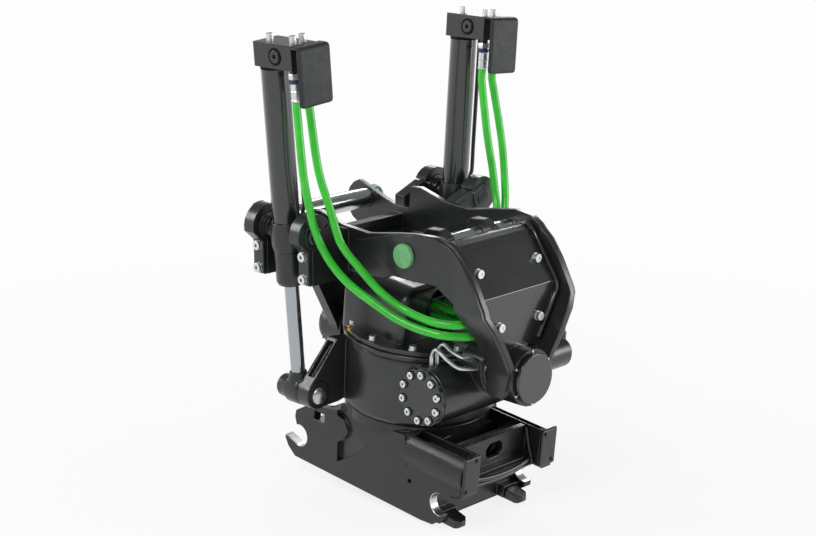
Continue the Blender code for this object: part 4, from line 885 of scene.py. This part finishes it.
bearing_heads = []
for y, facing in RIM_FACES:
    for index in range(RIM_SCREWS):
        angle = math.radians(360 / RIM_SCREWS * index + 90)
        bearing_heads.append((Vector((RIM_CIRCLE * math.cos(angle), y,
                                      TILT_Z + RIM_CIRCLE * math.sin(angle))), facing))
screws("bearing_rim_screws", "upper_frame", bearing_heads, cap_screw(5.6, 3.0))

AHEAD = ROTOR.to_3x3() @ FRONT
plate_heads = []
for side, sign in SIDES:
    for x, w in PLATE_SCREWS:
        plate_heads.append((ROTOR @ Vector((sign * x, PLATE_FACE, w)), AHEAD))
screws("end_plate_screws", "coupler", plate_heads, cap_screw(9.2, 3.1), "black_paint")
print("screws placed:", SCREW_COUNT)

# %% [markdown]
# Ferrules, nuts, rings, seals and discs each stand about a line of their own, so they share one
# recipe: a frame is put on that line, and a closed profile is turned about it. A nut takes six
# steps, a round part many more.

# %% Turned pieces
SAME_PLACE = 1e-6


def turned(bm, profile, place, steps=28):
    """Turn a closed (radius, height) profile about Z and put it in place."""
    rings = []
    for radius, height in profile:
        if radius < SAME_PLACE:
            rings.append([bm.verts.new(place @ Vector((0, 0, height)))])
            continue
        ring = []
        for step in range(steps):
            angle = 2 * math.pi * step / steps
            ring.append(bm.verts.new(place @ Vector((radius * math.cos(angle),
                                                     radius * math.sin(angle), height))))
        rings.append(ring)
    for first, second in zip(rings, rings[1:]):
        for step in range(steps):
            after = (step + 1) % steps
            corners = [first[step % len(first)], first[after % len(first)],
                       second[after % len(second)], second[step % len(second)]]
            unique = list(dict.fromkeys(corners))
            if len(unique) > 2:
                bm.faces.new(unique)


def aimed(place, direction):
    """A frame at a place with its Z along a direction."""
    turn = direction.to_track_quat("Z", "Y").to_matrix().to_4x4()
    return Matrix.Translation(place) @ turn


def crimped_ferrule(radius, length, grooves=2):
    """Closed profile of a ferrule from its open end up, with rounded grooves."""
    profile = [(0, 0), (radius - 0.0014, 0), (radius - 0.0003, 0.0008), (radius, 0.002)]
    span = (length - 0.008) / grooves
    for index in range(grooves):
        start = 0.004 + span * index
        profile += [(radius, start), (radius - 0.0008, start + 0.0012),
                    (radius - 0.0008, start + span - 0.0030), (radius, start + span - 0.0018)]
    return profile + [(radius, length - 0.001), (radius - 0.001, length), (0, length)]


# %% [markdown]
# Each hose ends in a crimped ferrule, a sleeve with shallow pressed grooves. A nut holds it in
# the port, and a blue ring marks the circuit.

# %% Ferrules under the cylinder heads
FERRULE_RADIUS = 0.0108
FERRULE_LENGTH = 0.0435
FERRULE_FOOT = 0.2839
NUT_FOOT = 0.3300
NUT = [(0, 0), (0.0116, 0), (0.0120, 0.001), (0.0120, 0.010), (0.0108, 0.012), (0, 0.012)]
BAND_FOOT = 0.3215
BAND = [(0.0095, 0), (0.0116, 0), (0.0116, 0.006), (0.0095, 0.006), (0.0095, 0)]
for side, sign in SIDES:
    head = cylinder_frame(sign)
    up = head.to_3x3() @ Vector((0, 0, 1))
    metal = bmesh.new()
    rings = bmesh.new()
    for x in PORT_X:
        turned(metal, crimped_ferrule(FERRULE_RADIUS, FERRULE_LENGTH),
               aimed(head @ Vector((x, PORT_Y, FERRULE_FOOT)), up))
        turned(metal, NUT, aimed(head @ Vector((x, PORT_Y, NUT_FOOT)), up), steps=6)
        turned(rings, BAND, aimed(head @ Vector((x, PORT_Y, BAND_FOOT)), up))
    bmesh.ops.remove_doubles(rings, verts=rings.verts, dist=SAME_PLACE)
    ferrules = finish_mesh(f"{side}_hose_ferrules", metal, FINISH["zinc"], CRISP_DEGREES)
    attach(ferrules, f"{side}_cylinder")
    bands = finish_mesh(f"{side}_circuit_rings", rings, FINISH["blue"], CRISP_DEGREES)
    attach(bands, f"{side}_cylinder")
print("ferrules:", len(SIDES) * len(PORT_X))

# %% [markdown]
# Two bent steel lines run from the worm housing to the front bearing pad. They are swept like
# the hoses, only thinner, and their bends are tight, as a former leaves them.

# %% Steel lines
LINE_RADIUS = 0.0045
LINE_STEP = 0.003
LINE_ROUTES = {
    "upper_steel_line": [
        (-0.104, -0.2475, -0.2357), (-0.105, -0.250, -0.208), (-0.107, -0.268, -0.190),
        (-0.106, -0.290, -0.200), (-0.092, -0.303, -0.212), (-0.0675, -0.306, -0.2194),
        (-0.0510, -0.306, -0.2273)],
    "lower_steel_line": [
        (-0.122, -0.2475, -0.2357), (-0.1225, -0.251, -0.212), (-0.124, -0.266, -0.198),
        (-0.121, -0.290, -0.214), (-0.104, -0.306, -0.232), (-0.0738, -0.315, -0.2386),
        (-0.0558, -0.315, -0.2419)],
}
for name, route in LINE_ROUTES.items():
    line = tube(f"{name}_tube", smooth_path(route, LINE_STEP), LINE_RADIUS,
                FINISH["zinc"], sides=14)
    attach(line, "rotor")
    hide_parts(name)
print("steel lines:", len(LINE_ROUTES))

# %% [markdown]
# A bonded seal sits under each side plug of the cylinder heads. It is a ring of rubber, so it
# reads as a black line round the plug; it is a turned ring again.

# %% Seals under the head plugs
PLUG_PLACE = Vector((-0.0311, -0.038, 0.3745))
PLUG_SEAL = [(0.0139, 0), (0.0180, 0), (0.0180, 0.0012), (0.0172, 0.0020), (0.0139, 0.0020),
             (0.0139, 0)]
for side, sign in SIDES:
    seal = bmesh.new()
    head = cylinder_frame(sign)
    turned(seal, PLUG_SEAL, aimed(head @ PLUG_PLACE, head.to_3x3() @ Vector((-1, 0, 0))),
           steps=32)
    bmesh.ops.remove_doubles(seal, verts=seal.verts, dist=SAME_PLACE)
    seal_ring = finish_mesh(f"{side}_plug_seal", seal, FINISH["rubber"], CRISP_DEGREES)
    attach(seal_ring, f"{side}_cylinder")
print("plug seals:", len(SIDES))

# %% [markdown]
# A seal lies between each barrel and its head, and shows as a thin black line.

# %% Seals between barrels and heads
BARREL_TOP = 0.349
BARREL_RADIUS = 0.029
SEAL_INSIDE = BARREL_RADIUS - 0.001
SEAL_OUTSIDE = BARREL_RADIUS + 0.0004
SEAL_LEVELS = (-0.0065, -0.0008)
BARREL_SEAL = [(SEAL_INSIDE, SEAL_LEVELS[0]), (SEAL_OUTSIDE, SEAL_LEVELS[0]),
               (SEAL_OUTSIDE, SEAL_LEVELS[1]), (SEAL_INSIDE, SEAL_LEVELS[1]),
               (SEAL_INSIDE, SEAL_LEVELS[0])]
for side, sign in SIDES:
    seal = bmesh.new()
    turned(seal, BARREL_SEAL, cylinder_frame(sign) @ Matrix.Translation((0, 0, BARREL_TOP)),
           steps=40)
    bmesh.ops.remove_doubles(seal, verts=seal.verts, dist=SAME_PLACE)
    barrel_seal = finish_mesh(f"{side}_barrel_seal", seal, FINISH["rubber"], CRISP_DEGREES)
    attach(barrel_seal, f"{side}_cylinder")
print("barrel seals:", len(SIDES))

# %% [markdown]
# Round bar is welded along both sides of the front cover, to stiffen its edges. It follows the
# cover's own outline and closes in with the horns, so it is swept like a hose.

# %% Edge bars of the front cover
COVER_EDGE = [(-0.2640, 0.0235), (-0.2850, 0.0300), (-0.3030, 0.0235), (-0.3185, 0.0110),
              (-0.3385, -0.0170), (-0.3560, -0.0430), (-0.3765, -0.0735), (-0.3795, -0.0930),
              (-0.3795, -0.1200), (-0.3785, -0.1520), (-0.3775, -0.1860)]
EDGE_BAR_RADIUS = 0.0048
BAR_STEP = 0.006
EDGE_BAR_INSET = 0.0062
PLATE_HALF_WIDTH = 0.1435
WIDEST = 0.128
NOSE_INSET = 0.022
NOSE_START = -0.235
NOSE_LENGTH = 0.090
HORN_INSET = 0.0775
HORN_START = -0.100
HORN_LENGTH = 0.132
DOUBLER = 0.004
DOUBLER_TOP = -0.101


def cover_half_width(y, z):
    """Half the cover's width, which follows the bends of the side plates."""
    nose = NOSE_INSET * min(max((NOSE_START - y) / NOSE_LENGTH, 0.0), 1.0)
    horn = HORN_INSET * min(max((HORN_START - z) / HORN_LENGTH, 0.0), 1.0)
    doubler = DOUBLER if z < DOUBLER_TOP else 0.0
    return min(PLATE_HALF_WIDTH - nose - horn - doubler, WIDEST)


for side, sign in SIDES:
    route = [(sign * (cover_half_width(y, z) - EDGE_BAR_INSET), y, z) for y, z in COVER_EDGE]
    bar = tube(f"{side}_cover_edge_bar", smooth_path(route, BAR_STEP), EDGE_BAR_RADIUS,
               FINISH["gloss_paint"], sides=14)
    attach(bar, "upper_frame")
print("edge bars:", len(SIDES))

# %% [markdown]
# The open front of the coupler is stiffened with bent round bar: one bar bows out along the
# lower edge of the panel, a thinner one follows under it, and one runs down each side.

# %% Bars round the coupler's front panel
PANEL_BARS = {
    "lower": (0.0050, [(-0.0940, -0.2540, 0.0560), (-0.0500, -0.2590, 0.0500),
                       (0.0, -0.2610, 0.0480), (0.0500, -0.2590, 0.0500), (0.0940, -0.2540, 0.0560)]),
    "under": (0.0035, [(-0.0940, -0.2520, 0.0420), (-0.0500, -0.2550, 0.0380),
                       (0.0, -0.2560, 0.0365), (0.0500, -0.2550, 0.0380), (0.0940, -0.2520, 0.0420)]),
}
for side, sign in SIDES:
    PANEL_BARS[side] = (0.0038, [(sign * 0.0940, -0.2340, 0.1190), (sign * 0.0938, -0.2400, 0.1000),
                                 (sign * 0.0936, -0.2480, 0.0750), (sign * 0.0934, -0.2560, 0.0560),
                                 (sign * 0.0934, -0.2600, 0.0440)])
for name, (radius, route) in PANEL_BARS.items():
    path = smooth_path([ROTOR @ Vector(point) for point in route], BAR_STEP)
    bar = tube(f"{name}_panel_bar", path, radius, FINISH["black_paint"], sides=12)
    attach(bar, "coupler")
print("panel bars:", len(PANEL_BARS))

# %% [markdown]
# A thick, pale green disc sits on each end of both hitch pins. It is turned like the ferrules,
# and its rounded rim catches the light.

# %% Pin end discs
DISC_FOOT = 0.1664
DISC = [(0, 0), (0.0254, 0), (0.0254, 0.0072), (0.0248, 0.0084), (0.0236, 0.0090), (0, 0.0090)]
discs = bmesh.new()
for y in (-HALF_SPACING, HALF_SPACING):
    for side, sign in SIDES:
        turned(discs, DISC, aimed(Vector((sign * DISC_FOOT, y, 0)), Vector((sign, 0, 0))))
caps = finish_mesh("hitch_pin_discs", discs, FINISH["green_disc"], CRISP_DEGREES)
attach(caps, "upper_frame")
print("pin disc faces:", len(caps.data.polygons))

# %% [markdown]
# Four soft lights stand round the unit: a strong one high at the front left, one at the rear
# left, a low one at the front right and one at the rear right.

# %% Lights
def soft_light(name, place, target, size, watts):
    data = bpy.data.lights.new(name, "AREA")
    data.shape = "DISK"
    data.size = size
    data.energy = watts
    lamp = bpy.data.objects.new(name, data)
    lamp.location = place
    lamp.rotation_euler = (Vector(place) - Vector(target)).to_track_quat("Z", "Y").to_euler()
    bpy.context.scene.collection.objects.link(lamp)


MIDDLE = (0, 0, -0.1)
soft_light("key light", (-2.6, -1.2, 3.0), MIDDLE, 1.6, 72)
soft_light("back light", (-2.0, 2.3, 1.6), MIDDLE, 1.5, 44)
soft_light("fill light", (2.4, -2.7, 0.6), MIDDLE, 1.6, 44)
soft_light("side light", (2.8, 2.0, 1.6), MIDDLE, 1.3, 34)
print("lights:", len(bpy.data.lights))


# %% [markdown]
# The world is white at the horizon and dim overhead, as a studio's ceiling is. Glossy paint needs
# both: it mirrors the pale set on upright faces and the dim ceiling on sloping ones.

# %% World
def seen_rays(tree):
    """1 for rays that look straight at the set or mirror it, 0 for the light that it gives."""
    rays = add(tree, "ShaderNodeLightPath").outputs
    seen = add(tree, "ShaderNodeMath", {0: rays["Is Camera Ray"], 1: rays["Is Glossy Ray"]},
               operation="MAXIMUM").outputs[0]
    return add(tree, "ShaderNodeMath", {0: seen, 1: rays["Is Transmission Ray"]},
               operation="MAXIMUM").outputs[0]


WORLD_LIGHT = 0.70
CEILING = 0.25
CEILING_REACH = (0.02, 0.40)
BACKDROP = "#fdfdfd"
world = bpy.data.worlds.new("pale studio")
world.use_nodes = True
bpy.context.scene.world = world
sky = world.node_tree
background = sky.nodes["Background"]
background.inputs["Color"].default_value = linear(BACKDROP)
level = spread(sky, seen_rays(sky), WORLD_LIGHT, 1.0, 0.0, 1.0)
height = add(sky, "ShaderNodeSeparateXYZ",
             {0: add(sky, "ShaderNodeTexCoord").outputs["Generated"]}).outputs["Z"]
shade = spread(sky, height, 1.0, CEILING, *CEILING_REACH)
strength = add(sky, "ShaderNodeMath", {0: level, 1: shade}, operation="MULTIPLY").outputs[0]
sky.links.new(strength, background.inputs["Strength"])

# %% [markdown]
# A pale floor lies just under the coupler. It glows for the rays that see it, and more so with
# distance, so it fades into the backdrop. What is left of its own shading keeps the shadow.

# %% Floor
FLOOR_GLOW = 0.86
FADE_REACH = (0.6, 2.2)
FLOOR_SIZE = 14.0
FLOOR_GAP = 0.0005
low_corner = CAD_BOX[0]
floor_mesh = bmesh.new()
bmesh.ops.create_grid(floor_mesh, x_segments=1, y_segments=1, size=FLOOR_SIZE,
                      matrix=Matrix.Translation((0, 0, low_corner[2] - FLOOR_GAP)))
floor_finish, floor_tree, floor_shader = new_finish("matt white floor", "#fbfbfb", 0.0, 0.9)
floor_tree.links.new(tint(floor_tree, noise(floor_tree, 300), "#fafafa", "#fdfdfd"),
                     floor_shader.inputs["Base Color"])
glow = add(floor_tree, "ShaderNodeEmission", {"Color": linear(BACKDROP), "Strength": 1.0})
reach = add(floor_tree, "ShaderNodeVectorMath",
            {0: add(floor_tree, "ShaderNodeTexCoord").outputs["Object"]}, operation="LENGTH")
faded = spread(floor_tree, reach.outputs["Value"], FLOOR_GLOW, 1.0, *FADE_REACH)
share = add(floor_tree, "ShaderNodeMath", {0: seen_rays(floor_tree), 1: faded},
            operation="MULTIPLY").outputs[0]
surface = add(floor_tree, "ShaderNodeMixShader", {0: share, 1: floor_shader.outputs[0],
                                                  2: glow.outputs[0]})
floor_tree.links.new(surface.outputs[0], floor_tree.nodes["Material Output"].inputs["Surface"])
floor = finish_mesh("floor", floor_mesh, floor_finish)
bpy.context.scene.view_settings.view_transform = "Standard"
print("floor at", round(low_corner[2] - FLOOR_GAP, 4), "m")
